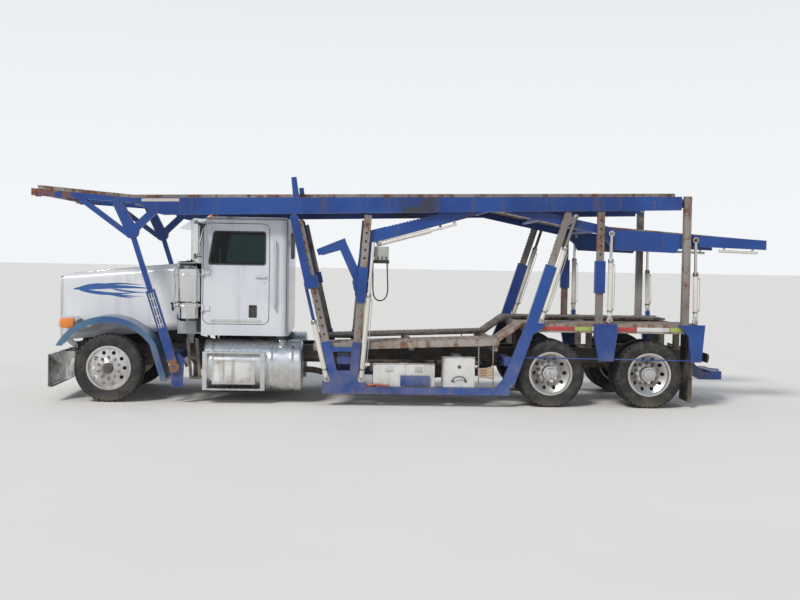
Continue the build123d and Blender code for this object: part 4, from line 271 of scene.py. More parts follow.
rack_blue = blue_paint("rack_blue_paint")
dress(rack_blue, "rack_sides", "rack_base", "mid_arms", "mast_sliders", "front_leg_struts", "stinger")
mast_steel = aged_finish(
    "mast_worn_steel", (0.165, 0.148, 0.135), (0.26, 0.24, 0.22), 0.58, 0.5, 0.6, 0.62, 0.8, bump=0.6
)
dress(mast_steel, "masts", "diagonal_masts")
cylinder_white = aged_finish(
    "cylinder_white_paint", (0.6, 0.57, 0.51), (0.68, 0.66, 0.61), 0.3, 0.4, 0.6, 0.4, 0.7
)
dress(cylinder_white, "lift_barrels", "mid_cylinder_barrels", "tail_cylinder_barrels", "arm_cylinders")
rod_steel = aged_finish(
    "rod_ground_steel", (0.62, 0.62, 0.62), (0.55, 0.54, 0.52), 0.1, 0.3, 0.4, 0.18, 0.2, bump=0.1,
    Metallic=1.0,
)
dress(rod_steel, "mid_cylinder_rods", "tail_cylinder_rods")
frame_black = aged_finish(
    "frame_black_paint", (0.016, 0.016, 0.017), (0.035, 0.034, 0.033), 0.42, 0.8, 0.3, 0.5, 0.8, bump=0.4
)
dress(frame_black, "chassis_frame", "cab_steps", "tail_lamps")
axle_iron = aged_finish(
    "axle_cast_iron", (0.035, 0.032, 0.03), (0.07, 0.062, 0.055), 0.66, 0.9, 0.3, 0.7, 0.6, bump=0.6
)
dress(axle_iron, "axles", "knuckle_left", "knuckle_right")
chrome = aged_finish(
    "road_chrome", (0.72, 0.73, 0.74), (0.6, 0.6, 0.59), 0.12, 0.45, 0.35, 0.12, 0.2, bump=0.05,
    Metallic=1.0,
)
dress(chrome, "bumper", "cab_brightwork", "hood_brightwork")
tank_metal = aged_finish(
    "tank_aluminium", (0.7, 0.71, 0.72), (0.6, 0.61, 0.62), 0.02, 0.55, 0.35, 0.24, 0.1, bump=0.05,
    Metallic=1.0,
)
dress(tank_metal, "fuel_tanks")
box_white = aged_finish(
    "toolbox_white_paint", (0.62, 0.62, 0.6), (0.7, 0.7, 0.68), 0.12, 0.5, 0.5, 0.35, 0.8, bump=0.15
)
dress(box_white, "toolboxes")
wheel_metal = aged_finish(
    "wheel_aluminium", (0.74, 0.74, 0.74), (0.62, 0.61, 0.6), 0.08, 0.75, 0.3, 0.22, 0.2, bump=0.08,
    Metallic=1.0,
)
HANDS = (("left", -1), ("right", 1))
for hand, _ in HANDS:
    dress(box_white, "toolbox_door_1_" + hand, "toolbox_door_2_" + hand)
    dress(wheel_metal, "rim_front_" + hand, "rims_rear_1_" + hand, "rims_rear_2_" + hand)

# Runways: long pressed steel channels that carry the cars' wheels. Rows of holes are punched through them
# for grip and to tie the cars down, and their paint has given way to rust. The holes are not cut: each is
# dented and painted near black, as painted shade inside the hole.
runway_steel = aged_finish(
    "runway_rusty_steel", (0.21, 0.18, 0.155), (0.34, 0.3, 0.265), 0.68, 0.6, 0.5, 0.7, 0.6, bump=0.7
)
tree = runway_steel.node_tree
parts = parted(object_place(tree))
row = worked_out("WRAP", parts[0], 0.055, -0.055)
line = worked_out("WRAP", worked_out("ADD", parts[1], 0.02), 0.05, -0.05)
off_centre = worked_out("MULTIPLY_ADD", row, row, product(line, line))
# Each hole is painted near black on the up and down faces, with a dent: painted shade for the dark inside
# it.
hole_shade = ramp(worked_out("SQRT", off_centre), 0.0195, 0.0165)
upright = parted(shader_node(tree, "TexCoord").outputs["Normal"])[2]
hole_shade = product(hole_shade, ramp(worked_out("ABSOLUTE", upright), 0.6, 0.8))
set_surface(runway_steel, Base_Color=blend_in(hole_shade, aged(runway_steel), (0.008, 0.007, 0.006)))
deepen(runway_steel, hole_shade, -1.5)
dress(runway_steel, "upper_runways", "mid_runways", "lower_deck")

# Cab: a riveted aluminium shell and two doors in a silver enamel. Inside, the same panels are lined with
# dark vinyl, which stands on the inner faces of the walls.
FRONT_AXLE = -3.985
SCREEN_SLANT = 0.2095
SCREEN_RAKE = 0.2333
INNER_WALL = 1.022
cab_paint = aged_finish(
    "cab_silver_paint", (0.56, 0.58, 0.63), (0.63, 0.65, 0.68), 0.04, 0.35, 0.16, 0.26, 0.15, bump=0.08,
    Coat_Weight=0.4,
)
place = object_place(cab_paint.node_tree)
parts = parted(place)
aside = worked_out("ABSOLUTE", parts[1])
screen_line = worked_out("MULTIPLY_ADD", aside, SCREEN_SLANT, FRONT_AXLE + 0.96)
rise = worked_out("MAXIMUM", worked_out("SUBTRACT", parts[2], 1.9), 0.0)
screen_line = worked_out("MULTIPLY_ADD", rise, SCREEN_RAKE, screen_line)
lining = product(
    worked_out("LESS_THAN", aside, INNER_WALL),
    worked_out("GREATER_THAN", parts[0], screen_line),
    worked_out("LESS_THAN", parts[0], FRONT_AXLE + 2.382),
    worked_out("LESS_THAN", parts[2], 2.518),
    worked_out("GREATER_THAN", parts[2], 0.945),
)
vinyl = blend_in(clouds(place, 60.0), (0.045, 0.044, 0.046), (0.085, 0.082, 0.08))
set_surface(
    cab_paint, Base_Color=blend_in(lining, aged(cab_paint), vinyl),
    Roughness=worked_out("MAXIMUM", aged(cab_paint, "Roughness"), product(lining, 0.7)),
)
dress(cab_paint, "cab_shell", "door_left", "door_right")

# Hood and fenders: pressed and moulded shells. The hood is painted near white with a blue flame streak
# on each flank, and the fenders are blue, chalked to a pale green where the sun and the stones hit them.
hood_paint = aged_finish(
    "hood_white_paint", (0.66, 0.67, 0.7), (0.72, 0.73, 0.75), 0.03, 0.35, 0.16, 0.22, 0.1, bump=0.08,
    Coat_Weight=0.5,
)
tree = hood_paint.node_tree
parts = parted(object_place(tree))
flames = None
for start, end, rise_start, rise_end, thick, bow in (
    (-0.6, 0.58, 1.51, 1.53, 0.03, 0.03),
    (-0.52, 0.3, 1.5, 1.475, 0.024, -0.034),
    (-0.38, 0.42, 1.54, 1.575, 0.016, 0.035),
    (-0.3, 0.4, 1.48, 1.425, 0.016, -0.02),
    (-0.55, -0.02, 1.52, 1.58, 0.014, 0.03),
    (-0.1, 0.3, 1.45, 1.4, 0.011, -0.012),
    (-0.05, 0.5, 1.52, 1.48, 0.013, -0.016),
):
    reach = {0: parts[0], 1: FRONT_AXLE + start, 2: FRONT_AXLE + end}
    share = shader_node(tree, "MapRange", reach).outputs[0]
    middle = shader_node(tree, "MapRange", {0: share, 3: rise_start, 4: rise_end}).outputs[0]
    middle = worked_out("MULTIPLY_ADD", worked_out("SINE", product(share, pi)), bow, middle)
    away = worked_out("ABSOLUTE", worked_out("SUBTRACT", parts[2], middle))
    taper = worked_out("SINE", product(worked_out("POWER", share, 0.55), pi))
    lick = ramp(worked_out("SUBTRACT", product(taper, thick), away), -0.001, 0.001)
    flames = lick if flames is None else worked_out("MAXIMUM", flames, lick)
set_surface(hood_paint, Base_Color=blend_in(flames, aged(hood_paint), (0.016, 0.085, 0.3)))
dress(hood_paint, "hood")
fender_paint = aged_finish(
    "fender_blue_paint", (0.012, 0.065, 0.2), (0.055, 0.15, 0.24), 0.05, 0.55, 0.3, 0.28, 0.3, bump=0.1,
    Coat_Weight=0.3,
)
dress(fender_paint, "fenders")

# Window glass: laminated panes with a green tint, bedded in the cab and in each door. The tint is darker
# than real glass: painted shade that makes the cab's inside look dark through them.
pane_glass, tree = new_material("tint_and_shade_glass")
film = clouds(object_place(tree), 7.0, 7.0)
# The dark transmitted colour is partly the real green tint and partly painted shade of the cab's inside.
set_surface(
    pane_glass, Transmission_Weight=1.0, IOR=1.3, Roughness=ramp(film, 0.4, 0.8, 0.02, 0.22),
    Base_Color=blend_in(film, (0.075, 0.13, 0.13), (0.115, 0.17, 0.165)),
)
dress(pane_glass, "cab_glass", "door_glass_left", "door_glass_right")

# Tyres: ten radial tyres, moulded rubber over steel cords, five ribs round the tread with blocks cut
# into both shoulders. Twins on one hub turn as one piece.
tyre_rubber, tree = new_material("tyre_rubber")
place = object_place(tree)
grime = clouds(place, 9.0, 8.0, 0.7)
tone = blend_in(ramp(grime, 0.42, 0.7, 0.0, 0.8), (0.012, 0.012, 0.013), (0.085, 0.075, 0.062))
tone = blend_in(ramp(parted(place)[2], 0.16, 0.0, 0.0, 0.6), tone, (0.16, 0.135, 0.105))
set_surface(
    tyre_rubber, Base_Color=tone, Roughness=ramp(grime, 0.3, 0.7, 0.55, 0.9),
    Normal=bumped(clouds(place, 160.0, 3.0), 0.25, 0.002),
)


def at(station, across, height):
    """A point from its distance behind the front axle, its place across the truck and its height."""
    return Vector((FRONT_AXLE + station, across, height))


def once(items):
    """A list of the items, each once and in order, so that every run gives the same mesh."""
    return list(dict.fromkeys(items))


def add_spun(shape, centre, axis, profile, steps=48, ring=False):
    """Spin a profile of distances along an axis and radii; a ring's profile closes on itself."""
    axis = Vector(axis).normalized()
    out = axis.orthogonal().normalized()
    verts = [shape.verts.new(Vector(centre) + axis * along + out * radius) for along, radius in profile]
    lines = [shape.edges.new(pair) for pair in zip(verts, verts[1:])]
    if ring:
        lines.append(shape.edges.new((verts[-1], verts[0])))
    old = set(shape.faces)
    bmesh.ops.spin(
        shape, geom=verts + lines, cent=centre, axis=axis, angle=2 * pi, steps=steps, use_merge=True
    )
    made = once(vert for face in shape.faces if face not in old for vert in face.verts)
    bmesh.ops.remove_doubles(shape, verts=made, dist=1e-5)


def mirror_over(shape):
    """Repeat a shape on the truck's other side."""
    everything = shape.verts[:] + shape.edges[:] + shape.faces[:]
    bmesh.ops.mirror(shape, geom=everything, axis="Y", merge_dist=0.0001)


def make_piece(name, shape, material, body="truck", both=False, replaced=(), sharp=32):
    """Close a shape, on both sides where asked, into an object that rides on a body."""
    if both:
        mirror_over(shape)
    bmesh.ops.recalc_face_normals(shape, faces=shape.faces)
    mesh = bpy.data.meshes.new(name)
    shape.to_mesh(mesh)
    shape.free()
    mesh.shade_smooth()
    mesh.set_sharp_from_angle(angle=radians(sharp))
    mesh.materials.append(material)
    piece = bpy.data.objects.new(name, mesh)
    scene.collection.objects.link(piece)
    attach(piece, body)
    if replaced:
        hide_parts(*replaced)
    return piece


TYRE_RADIUS = 0.465
SHOULDER_CUT = 0.008
TYRE_HALF_SECTION = (
    (0.098, 0.2865), (0.106, 0.292), (0.11, 0.304), (0.117, 0.33), (0.1235, 0.362), (0.1245, 0.392),
    (0.1225, 0.414), (0.1185, 0.428), (0.115, 0.44), (0.105, 0.4575), (0.096, 0.463), (0.069, 0.4642),
    (0.067, 0.453), (0.059, 0.453), (0.057, 0.4648), (0.03, 0.465), (0.0285, 0.453), (0.0205, 0.453),
    (0.019, 0.465), (0.0, 0.465),
)
TYRE_STEPS = 80


def add_tyre(shape, station, middle):
    """Spin one tyre about its axle and cut the shoulder blocks."""
    section = list(TYRE_HALF_SECTION) + [(-y, r) for y, r in reversed(TYRE_HALF_SECTION[:-1])]
    axle = at(station, middle, TYRE_RADIUS)
    old = set(shape.faces)
    add_spun(shape, axle, (0, 1, 0), section, TYRE_STEPS, ring=True)
    cuts = []
    for face in [face for face in shape.faces if face not in old]:
        off = face.calc_center_median() - axle
        out = Vector((off.x, off.z))
        step = int(out.angle_signed(Vector((1, 0))) / (2 * pi) * TYRE_STEPS + TYRE_STEPS)
        if 0.098 < abs(off.y) < 0.118 and out.length > 0.445 and step % 2 == 0:
            cuts.append(face)
    for face in bmesh.ops.extrude_discrete_faces(shape, faces=cuts)["faces"]:
        off = face.calc_center_median() - axle
        inward = -Vector((off.x, 0, off.z)).normalized() * SHOULDER_CUT
        bmesh.ops.translate(shape, vec=inward, verts=face.verts)


TWINS = ((1, 6.02), (2, 7.392))
FRONT_WHEEL = 1.035
TWIN_WHEELS = (1.07, 0.765)
for hand, side in HANDS:
    shape = bmesh.new()
    add_tyre(shape, 0.0, side * FRONT_WHEEL)
    make_piece(
        "front_tyre_" + hand, shape, tyre_rubber, "front_wheel_" + hand,
        replaced=["tyre_front_" + hand],
    )
    for number, station in TWINS:
        shape = bmesh.new()
        for middle in TWIN_WHEELS:
            add_tyre(shape, station, side * middle)
        ending = "%d_%s" % (number, hand)
        make_piece(
            "twin_tyres_" + ending, shape, tyre_rubber, "rear_wheels_" + ending,
            replaced=["tyres_rear_" + ending],
        )

# Wheel nuts and hubs: ten steel nuts clamp each disc. The front hubs carry a dark cap, and the drive
# hubs a bright one with a flange of eight screws. An iron brake drum shows through the hand holes.


def add_round(shape, start, end, radius, sides=20, ease=0.0015, end_radius=None):
    """A round or many-sided bar between two points, with its end edges eased."""
    start, end = Vector(start), Vector(end)
    line = end - start
    tip = radius if end_radius is None else end_radius
    made = bmesh.ops.create_cone(
        shape, cap_ends=True, segments=sides, radius1=radius, radius2=tip, depth=line.length
    )["verts"]
    around = once(edge for vert in made for edge in vert.link_edges)
    rims = [edge for edge in around if abs(edge.verts[0].co.z - edge.verts[1].co.z) < 1e-6]
    turn = line.to_track_quat("Z", "Y").to_matrix()
    bmesh.ops.rotate(shape, cent=(0, 0, 0), matrix=turn, verts=made)
    bmesh.ops.translate(shape, vec=(start + end) / 2, verts=made)
    if ease:
        bmesh.ops.bevel(
            shape, geom=rims, offset=ease, affect="EDGES", segments=2, profile=0.5, material=-1
        )


nut_steel = aged_finish(
    "nut_zinc_steel", (0.42, 0.42, 0.41), (0.3, 0.27, 0.24), 0.62, 0.5, 0.3, 0.35, 0.2, Metallic=0.9
)
drum_iron = aged_finish(
    "drum_rusty_iron", (0.06, 0.05, 0.044), (0.11, 0.07, 0.05), 0.8, 0.6, 0.3, 0.8, 0.2, bump=0.5
)
cap_black = aged_finish(
    "hub_cap_black", (0.018, 0.018, 0.019), (0.03, 0.03, 0.03), 0.2, 0.6, 0.3, 0.35, 0.2, bump=0.2
)
NUT_CIRCLE = 0.1425
SCREW_CIRCLE = 0.088
FRONT_CAP_PROFILE = (
    (0.1, 0.088), (0.106, 0.088), (0.108, 0.082), (0.138, 0.074), (0.147, 0.068), (0.15, 0.055),
    (0.151, 0.0),
)
REAR_CAP_PROFILE = (
    (-0.06, 0.106), (-0.05, 0.106), (-0.046, 0.098), (0.06, 0.092), (0.064, 0.098), (0.074, 0.098),
    (0.078, 0.078), (0.094, 0.07), (0.099, 0.055), (0.1, 0.0),
)
FRONT_DRUM = ((-0.075, 0.135), (-0.075, 0.19), (0.045, 0.198), (0.055, 0.186), (0.055, 0.135))
REAR_DRUM = ((-0.33, 0.17), (-0.33, 0.205), (-0.155, 0.205), (-0.15, 0.17))
for hand, side in HANDS:
    out = Vector((0, side, 0))
    for body, station, middle, face, tip, caps, cap_finish, drum in (
        ("front_wheel_", 0.0, FRONT_WHEEL, 0.1, 0.136, FRONT_CAP_PROFILE, cap_black, FRONT_DRUM),
        ("rear_wheels_1_", TWINS[0][1], TWIN_WHEELS[0], -0.06, -0.018, REAR_CAP_PROFILE, chrome, REAR_DRUM),
        ("rear_wheels_2_", TWINS[1][1], TWIN_WHEELS[0], -0.06, -0.018, REAR_CAP_PROFILE, chrome, REAR_DRUM),
    ):
        body += hand
        centre = at(station, side * middle, TYRE_RADIUS)
        shape = bmesh.new()
        for number in range(10):
            turn = 2 * pi * (number + 0.5) / 10
            seat = centre + NUT_CIRCLE * Vector((cos(turn), 0, sin(turn)))
            add_round(shape, seat + out * face, seat + out * (face + 0.006), 0.022, 16)
            add_round(shape, seat + out * (face + 0.004), seat + out * (tip - 0.01), 0.019, 6)
            add_round(shape, seat + out * (tip - 0.014), seat + out * tip, 0.01, 10)
        make_piece("nuts_" + body, shape, nut_steel, body)
        shape = bmesh.new()
        add_spun(shape, centre, out, caps)
        if caps is REAR_CAP_PROFILE:
            for number in range(8):
                turn = 2 * pi * number / 8
                seat = centre + SCREW_CIRCLE * Vector((cos(turn), 0, sin(turn)))
                add_round(shape, seat + out * 0.07, seat + out * 0.08, 0.007, 6, 0.001)
        make_piece("hub_cap_" + body, shape, cap_finish, body)
        shape = bmesh.new()
        add_spun(shape, centre, out, drum, ring=True)
        make_piece("brake_drum_" + body, shape, drum_iron, body)

# Window trim: black rubber mouldings hold the windscreen panes, the rear window, the door windows and
# the small window low in each door, whose pane is a dark louvre.
seal_rubber = aged_finish(
    "seal_black_rubber", (0.014, 0.014, 0.014), (0.04, 0.04, 0.04), 0.0, 0.5, 0.2, 0.6, 0.3, bump=0.2
)


def add_block(shape, low, high, ease=0.004, turn=None):
    """A block between two corners with eased edges, turned about its own middle."""
    low, high = Vector(low), Vector(high)
    made = bmesh.ops.create_cube(shape, size=1.0)["verts"]
    bmesh.ops.scale(shape, vec=high - low, verts=made)
    if turn:
        bmesh.ops.rotate(shape, cent=(0, 0, 0), matrix=turn, verts=made)
    bmesh.ops.translate(shape, vec=(low + high) / 2, verts=made)
    edges = once(edge for vert in made for edge in vert.link_edges)
    bmesh.ops.bevel(shape, geom=edges, offset=ease, affect="EDGES", segments=2, profile=0.5, material=-1)


def shaped(blocks=(), bars=()):
    """A new shape from rows of numbers: two corners or ends, measured as at() does, and then sizes."""
    shape = bmesh.new()
    for add, rows in ((add_block, blocks), (add_round, bars)):
        for row in rows:
            add(shape, at(*row[:3]), at(*row[3:6]), *row[6:])
    return shape


def tilted(degrees, axis="Y"):
    """A turn about one axis."""
    return Matrix.Rotation(radians(degrees), 3, axis)


def add_gasket(shape, corners, width, proud, radius=0.035):
    """A moulded strip round an opening, from its outer corners."""
    old = set(shape.faces)
    shape.faces.new([shape.verts.new(corner) for corner in corners])
    fresh = [face for face in shape.faces if face not in old]
    bmesh.ops.bevel(
        shape, geom=list(fresh[0].verts), offset=radius, affect="VERTICES", segments=4, profile=0.5,
        material=-1,
    )
    fresh = [face for face in shape.faces if face not in old]
    middle = max(fresh, key=lambda face: face.calc_area())
    strip = bmesh.ops.inset_region(
        shape, faces=[middle], thickness=width, use_boundary=True, use_even_offset=True
    )["faces"]
    bmesh.ops.delete(shape, geom=[middle], context="FACES_ONLY")
    raised = bmesh.ops.extrude_face_region(shape, geom=strip, use_keep_orig=True)["geom"]
    tops = [item for item in raised if isinstance(item, bmesh.types.BMVert)]
    bmesh.ops.translate(shape, vec=proud, verts=tops)


def frame_of(low, high):
    """The four corners of a rectangle, as pairs."""
    return low, (high[0], low[1]), high, (low[0], high[1])


def make_pair(name, shape, material, body):
    """The driver's side piece and its mirror image, each on the body of its own side."""
    other = shape.copy()
    bmesh.ops.scale(other, vec=(1, -1, 1), verts=other.verts)
    for made, (hand, _) in zip((shape, other), HANDS):
        make_piece(name + hand, made, material, body + hand)


SCREEN_ACROSS = Vector((0.22, -1.05, 0.0))
SCREEN_UP = Vector((0.14, 0.0, 0.6))
SCREEN_OUT = SCREEN_ACROSS.cross(SCREEN_UP).normalized()
SEAL_PROUD = 0.006
DOOR_SKIN = -1.0503


def on_screen(across, up, proud=0.0):
    """A point of the driver's windscreen pane, from shares of its width and height."""
    return at(0.93, 0.0, 1.9) + SCREEN_ACROSS * across + SCREEN_UP * up + SCREEN_OUT * proud


shape = bmesh.new()
opening = [on_screen(u, v, 0.0005) for u, v in frame_of((0.0595, 0.103), (0.9405, 0.897))]
add_gasket(shape, opening, 0.03, SCREEN_OUT * SEAL_PROUD, 0.045)
mirror_over(shape)
opening = [at(2.4105, y, z) for y, z in frame_of((-0.468, 1.972), (0.468, 2.348))]
add_gasket(shape, opening, 0.03, Vector((SEAL_PROUD, 0, 0)), 0.05)
make_piece("cab_window_rubbers", shape, seal_rubber)
shape = shaped(blocks=[
    (1.881, -1.042, z, 1.969, -1.038, z + 0.026, 0.001, tilted(-35, "X"))
    for z in (1.192, 1.217, 1.242, 1.267, 1.292)
])
for corners, radius in (
    (((1.31, 1.884), (1.381, 2.346), (2.096, 2.346), (2.096, 1.884)), 0.04),
    (frame_of((1.87, 1.17), (1.98, 1.34)), 0.012),
):
    add_gasket(shape, [at(x, DOOR_SKIN, z) for x, z in corners], 0.018, Vector((0, -SEAL_PROUD, 0)), radius)
make_pair("door_window_rubbers_", shape, seal_rubber, "door_")

# Wipers: a bent steel arm and a rubber blade lie parked along the foot of each windscreen pane.
shape = bmesh.new()
for start, end, radius, sides in (
    ((0.34, 0.035, -0.01), (0.34, 0.035, 0.03), 0.016, 14),
    ((0.34, 0.035, 0.028), (0.6, 0.15, 0.024), 0.007, 8),
    ((0.3, 0.155, 0.014), (0.86, 0.14, 0.014), 0.0065, 8),
    ((0.45, 0.153, 0.02), (0.74, 0.145, 0.02), 0.005, 8),
):
    add_round(shape, on_screen(*start), on_screen(*end), radius, sides)
make_piece("wipers", shape, seal_rubber, both=True)

# Roof lamps: five amber marker lamps in a row, each a moulded lens on a small black foot.
lens_colours = {}
for name, deep, bright in (
    ("amber_lens", (0.62, 0.13, 0.01), (0.95, 0.3, 0.03)),
    ("red_lens", (0.3, 0.008, 0.006), (0.62, 0.03, 0.02)),
    ("clear_lens", (0.45, 0.47, 0.49), (0.8, 0.82, 0.84)),
):
    lens_colours[name], tree = new_material(name)
    place = object_place(tree)
    bands = {"Vector": place, "Scale": 26.0}
    flutes = shader_node(tree, "TexWave", bands, bands_direction="DIAGONAL").outputs[1]
    set_surface(
        lens_colours[name], Base_Color=blend_in(flutes, deep, bright), Coat_Weight=0.6,
        Roughness=ramp(clouds(place, 22.0), 0.35, 0.75, 0.08, 0.38), Normal=bumped(flutes, 0.5, 0.002),
    )


def add_dome(shape, centre, out, size):
    """A low dome standing on a plane; size is its two half widths and its height."""
    made = bmesh.ops.create_uvsphere(shape, u_segments=20, v_segments=12, radius=1.0)["verts"]
    geometry = once(item for vert in made for item in (vert, *vert.link_edges, *vert.link_faces))
    cut = bmesh.ops.bisect_plane(
        shape, geom=geometry, plane_co=(0, 0, 0), plane_no=(0, 0, -1), clear_outer=True
    )["geom"]
    made = once(vert for item in cut if isinstance(item, bmesh.types.BMFace) for vert in item.verts)
    rim = once(edge for vert in made for edge in vert.link_edges if edge.is_boundary)
    bmesh.ops.holes_fill(shape, edges=rim)
    bmesh.ops.scale(shape, vec=size, verts=made)
    turn = Vector(out).to_track_quat("Z", "Y").to_matrix()
    bmesh.ops.rotate(shape, cent=(0, 0, 0), matrix=turn, verts=made)
    bmesh.ops.translate(shape, vec=centre, verts=made)


ROOF = 2.54
lamps = bmesh.new()
feet = bmesh.new()
for across in (-0.8, -0.32, 0.0, 0.32, 0.8):
    seat = at(1.2 + SCREEN_SLANT * abs(across), across, ROOF)
    add_block(feet, seat - Vector((0.045, 0.032, 0.001)), seat + Vector((0.045, 0.032, 0.012)))
    add_dome(lamps, seat + Vector((0, 0, 0.011)), (0, 0, 1), (0.04, 0.028, 0.034))
make_piece("roof_lamps", lamps, lens_colours["amber_lens"])
make_piece("roof_lamp_feet", feet, seal_rubber)

# Mirrors: a tall silvered glass in a bright housing on each side, facing back, and the rounded edges and
# drain bead of the housing round it.
mirror_glass = aged_finish(
    "mirror_silver", (0.86, 0.88, 0.89), (0.8, 0.82, 0.83), 0.0, 0.25, 0.1, 0.03, 0.0, bump=0.02,
    Metallic=1.0,
)
glasses = shaped(blocks=[(1.1975, -1.278, 2.05, 1.2005, -1.122, 2.41, 0.001)])
beads = shaped(bars=[(1.12, -1.19, 1.955, 1.12, -1.19, 2.49, 0.021, 16)])
outline = [at(1.198, y, z) for y, z in frame_of((-1.2865, 2.032), (-1.1135, 2.428))]
add_gasket(beads, outline, 0.013, Vector((0.006, 0, 0)), 0.022)
make_piece("mirror_glasses", glasses, mirror_glass, both=True)
make_piece("mirror_beads", beads, chrome, both=True)

# Air cleaners: polished canisters on the cowl. Two steel bands clamp each one to its brackets, a screened
# intake ring runs under the rain cap, and the dull bowl at the foot comes off on three clips.
canister_steel = aged_finish(
    "canister_polished_steel", (0.74, 0.74, 0.74), (0.62, 0.6, 0.57), 0.1, 0.45, 0.45, 0.1, 0.1, bump=0.05,
    Metallic=1.0,
)
bands = bmesh.new()
screens = bmesh.new()
BAND_PROFILE = (
    (-0.022, 0.1845), (-0.022, 0.19), (-0.015, 0.192), (0.015, 0.192), (0.022, 0.19), (0.022, 0.1845)
)
RAIN_CAP_PROFILE = (
    (1.925, 0.0), (1.925, 0.128), (1.905, 0.15), (1.899, 0.15), (1.899, 0.142), (1.916, 0.12), (1.916, 0.0)
)
SCREEN_LOW, SCREEN_HIGH = 1.862, 1.905
for side in (-1, 1):
    foot = at(1.035, side * 0.993, 0.0)
    for level in (1.325, 1.745):
        add_spun(bands, foot + Vector((0, 0, level)), (0, 0, 1), BAND_PROFILE, 56, ring=True)
        lug = foot + Vector((0, side * 0.192, level))
        add_block(bands, lug - Vector((0.03, 0.008, 0.016)), lug + Vector((0.03, 0.008, 0.016)), 0.003)
        add_round(bands, lug - Vector((0.045, 0, 0)), lug + Vector((0.045, 0, 0)), 0.005, 8)
    add_spun(bands, foot, (0, 0, 1), RAIN_CAP_PROFILE, 56)
    ring = ((SCREEN_LOW, 0.101), (SCREEN_LOW, 0.108), (SCREEN_HIGH, 0.108), (SCREEN_HIGH, 0.101))
    add_spun(screens, foot, (0, 0, 1), ring, 56, ring=True)
    for number in range(24):
        turn = 2 * pi * number / 24
        low = foot + Vector((0.109 * cos(turn), 0.109 * sin(turn), SCREEN_LOW))
        add_round(screens, low, low + Vector((0, 0, 0.042)), 0.003, 6)
    for number in range(3):
        turn = 2 * pi * number / 3 + side * 0.9
        clip = foot + Vector((0.178 * cos(turn), 0.178 * sin(turn), 1.368))
        add_block(bands, clip - Vector((0.01, 0.01, 0.035)), clip + Vector((0.01, 0.01, 0.035)), 0.003)
make_piece("air_cleaner_bands", bands, canister_steel)
make_piece("air_cleaner_screens", screens, cap_black)

# Door trim: the lock button sits below the bright pull, which is the door's own. Two capped hinge pins
# stand at the door's front edge and a kick strip of stainless steel runs along its foot.
shape = shaped(
    blocks=[(1.345, -1.0525, 1.1, 2.045, -1.0497, 1.14, 0.001)],
    bars=[
        (2.075, -1.0495, 1.655, 2.075, -1.058, 1.655, 0.014, 20),
        (2.075, -1.057, 1.655, 2.075, -1.061, 1.655, 0.008, 12, 0.001),
    ],
)
for level in (1.3325, 1.8225):
    add_dome(shape, at(1.248, -1.071, level), (0, 0, 1), (0.013, 0.013, 0.008))
make_pair("door_trim_", shape, chrome, "door_")

# Cab interior: two seat bases with rubber bellows, a vinyl dash with round dials, the steering wheel on its
# column, pedals, gear lever and a ribbed rubber mat. It is seen through the windows.
trim_black = aged_finish(
    "trim_black_vinyl", (0.02, 0.02, 0.021), (0.04, 0.04, 0.04), 0.0, 0.4, 0.1, 0.55, 0.2, bump=0.2
)
tree = trim_black.node_tree
grain = shader_node(tree, "TexVoronoi", {"Vector": object_place(tree), "Scale": 420.0}).outputs["Distance"]
deepen(trim_black, grain, 0.5)
SEAT_LINE = 0.52
DASH_HALF = 0.738
mats = [(1.02, -0.7, 0.976, 1.72, 0.7, 0.984, 0.002), (1.72, -0.95, 0.976, 2.33, 0.95, 0.984, 0.002)]
ribs = [(1.03, -0.668 + n * 0.0629, 0.983, 1.71, -0.652 + n * 0.0629, 0.988, 0.002) for n in range(22)]
bases = [
    (1.745, y - 0.175, z, 2.135, y + 0.175, z + rise, 0.006)
    for y in (-SEAT_LINE, SEAT_LINE) for z, rise in ((0.98, 0.05), (1.305, 0.04))
]
springs = [
    (1.775, y - 0.15, z, 2.105, y + 0.15, z + 0.04, 0.018)
    for y in (-SEAT_LINE, SEAT_LINE) for z in (1.045, 1.097, 1.149, 1.201, 1.253)
]
feet = ((-0.66, 0.03), (-0.55, 0.04), (-0.42, 0.025))
pedals = [(1.13, y - wide, 1.13, 1.24, y + wide, 1.142, 0.003, tilted(-50)) for y, wide in feet]
binnacle = (1.272, -0.735, 1.64, 1.3, -0.3, 1.8, 0.01, tilted(-5))
shape = shaped(blocks=mats + ribs + bases + springs + pedals + [binnacle], bars=[
    (1.24, -SEAT_LINE, 1.56, 1.5, -SEAT_LINE, 1.677, 0.034, 24, 0.004, 0.026),
    (1.42, -SEAT_LINE, 1.65, 1.43, -0.66, 1.7, 0.006, 8),
    (1.42, 0.02, 0.98, 1.5, -0.04, 1.52, 0.011, 12),
    *((1.09, y, 1.4, 1.17, y, 1.15, 0.008, 8) for y, _ in feet),
])
outline = ((0.928, 1.85), (0.928, 1.383), (1.178, 1.383), (1.287, 1.56), (1.268, 1.798), (1.15, 1.866))
near_wall = [shape.verts.new(at(x, -DASH_HALF, z)) for x, z in outline]
pulled = bmesh.ops.extrude_face_region(shape, geom=[shape.faces.new(near_wall)])["geom"]
far_wall = [item for item in pulled if isinstance(item, bmesh.types.BMVert)]
bmesh.ops.translate(shape, vec=(0, 2 * DASH_HALF, 0), verts=far_wall)
dash = once(edge for vert in near_wall + far_wall for edge in vert.link_edges)
bmesh.ops.bevel(shape, geom=dash, offset=0.014, affect="EDGES", segments=3, profile=0.5, material=-1)
add_dome(shape, at(1.5, -0.04, 1.515), (0.1, 0, 1), (0.028, 0.028, 0.045))
add_spun(shape, at(1.42, 0.02, 0.984), (0.148, -0.111, 1.0), (
    (0.0, 0.1), (0.03, 0.085), (0.04, 0.095), (0.07, 0.065), (0.08, 0.072), (0.11, 0.045), (0.12, 0.02),
    (0.12, 0.0),
), 24)
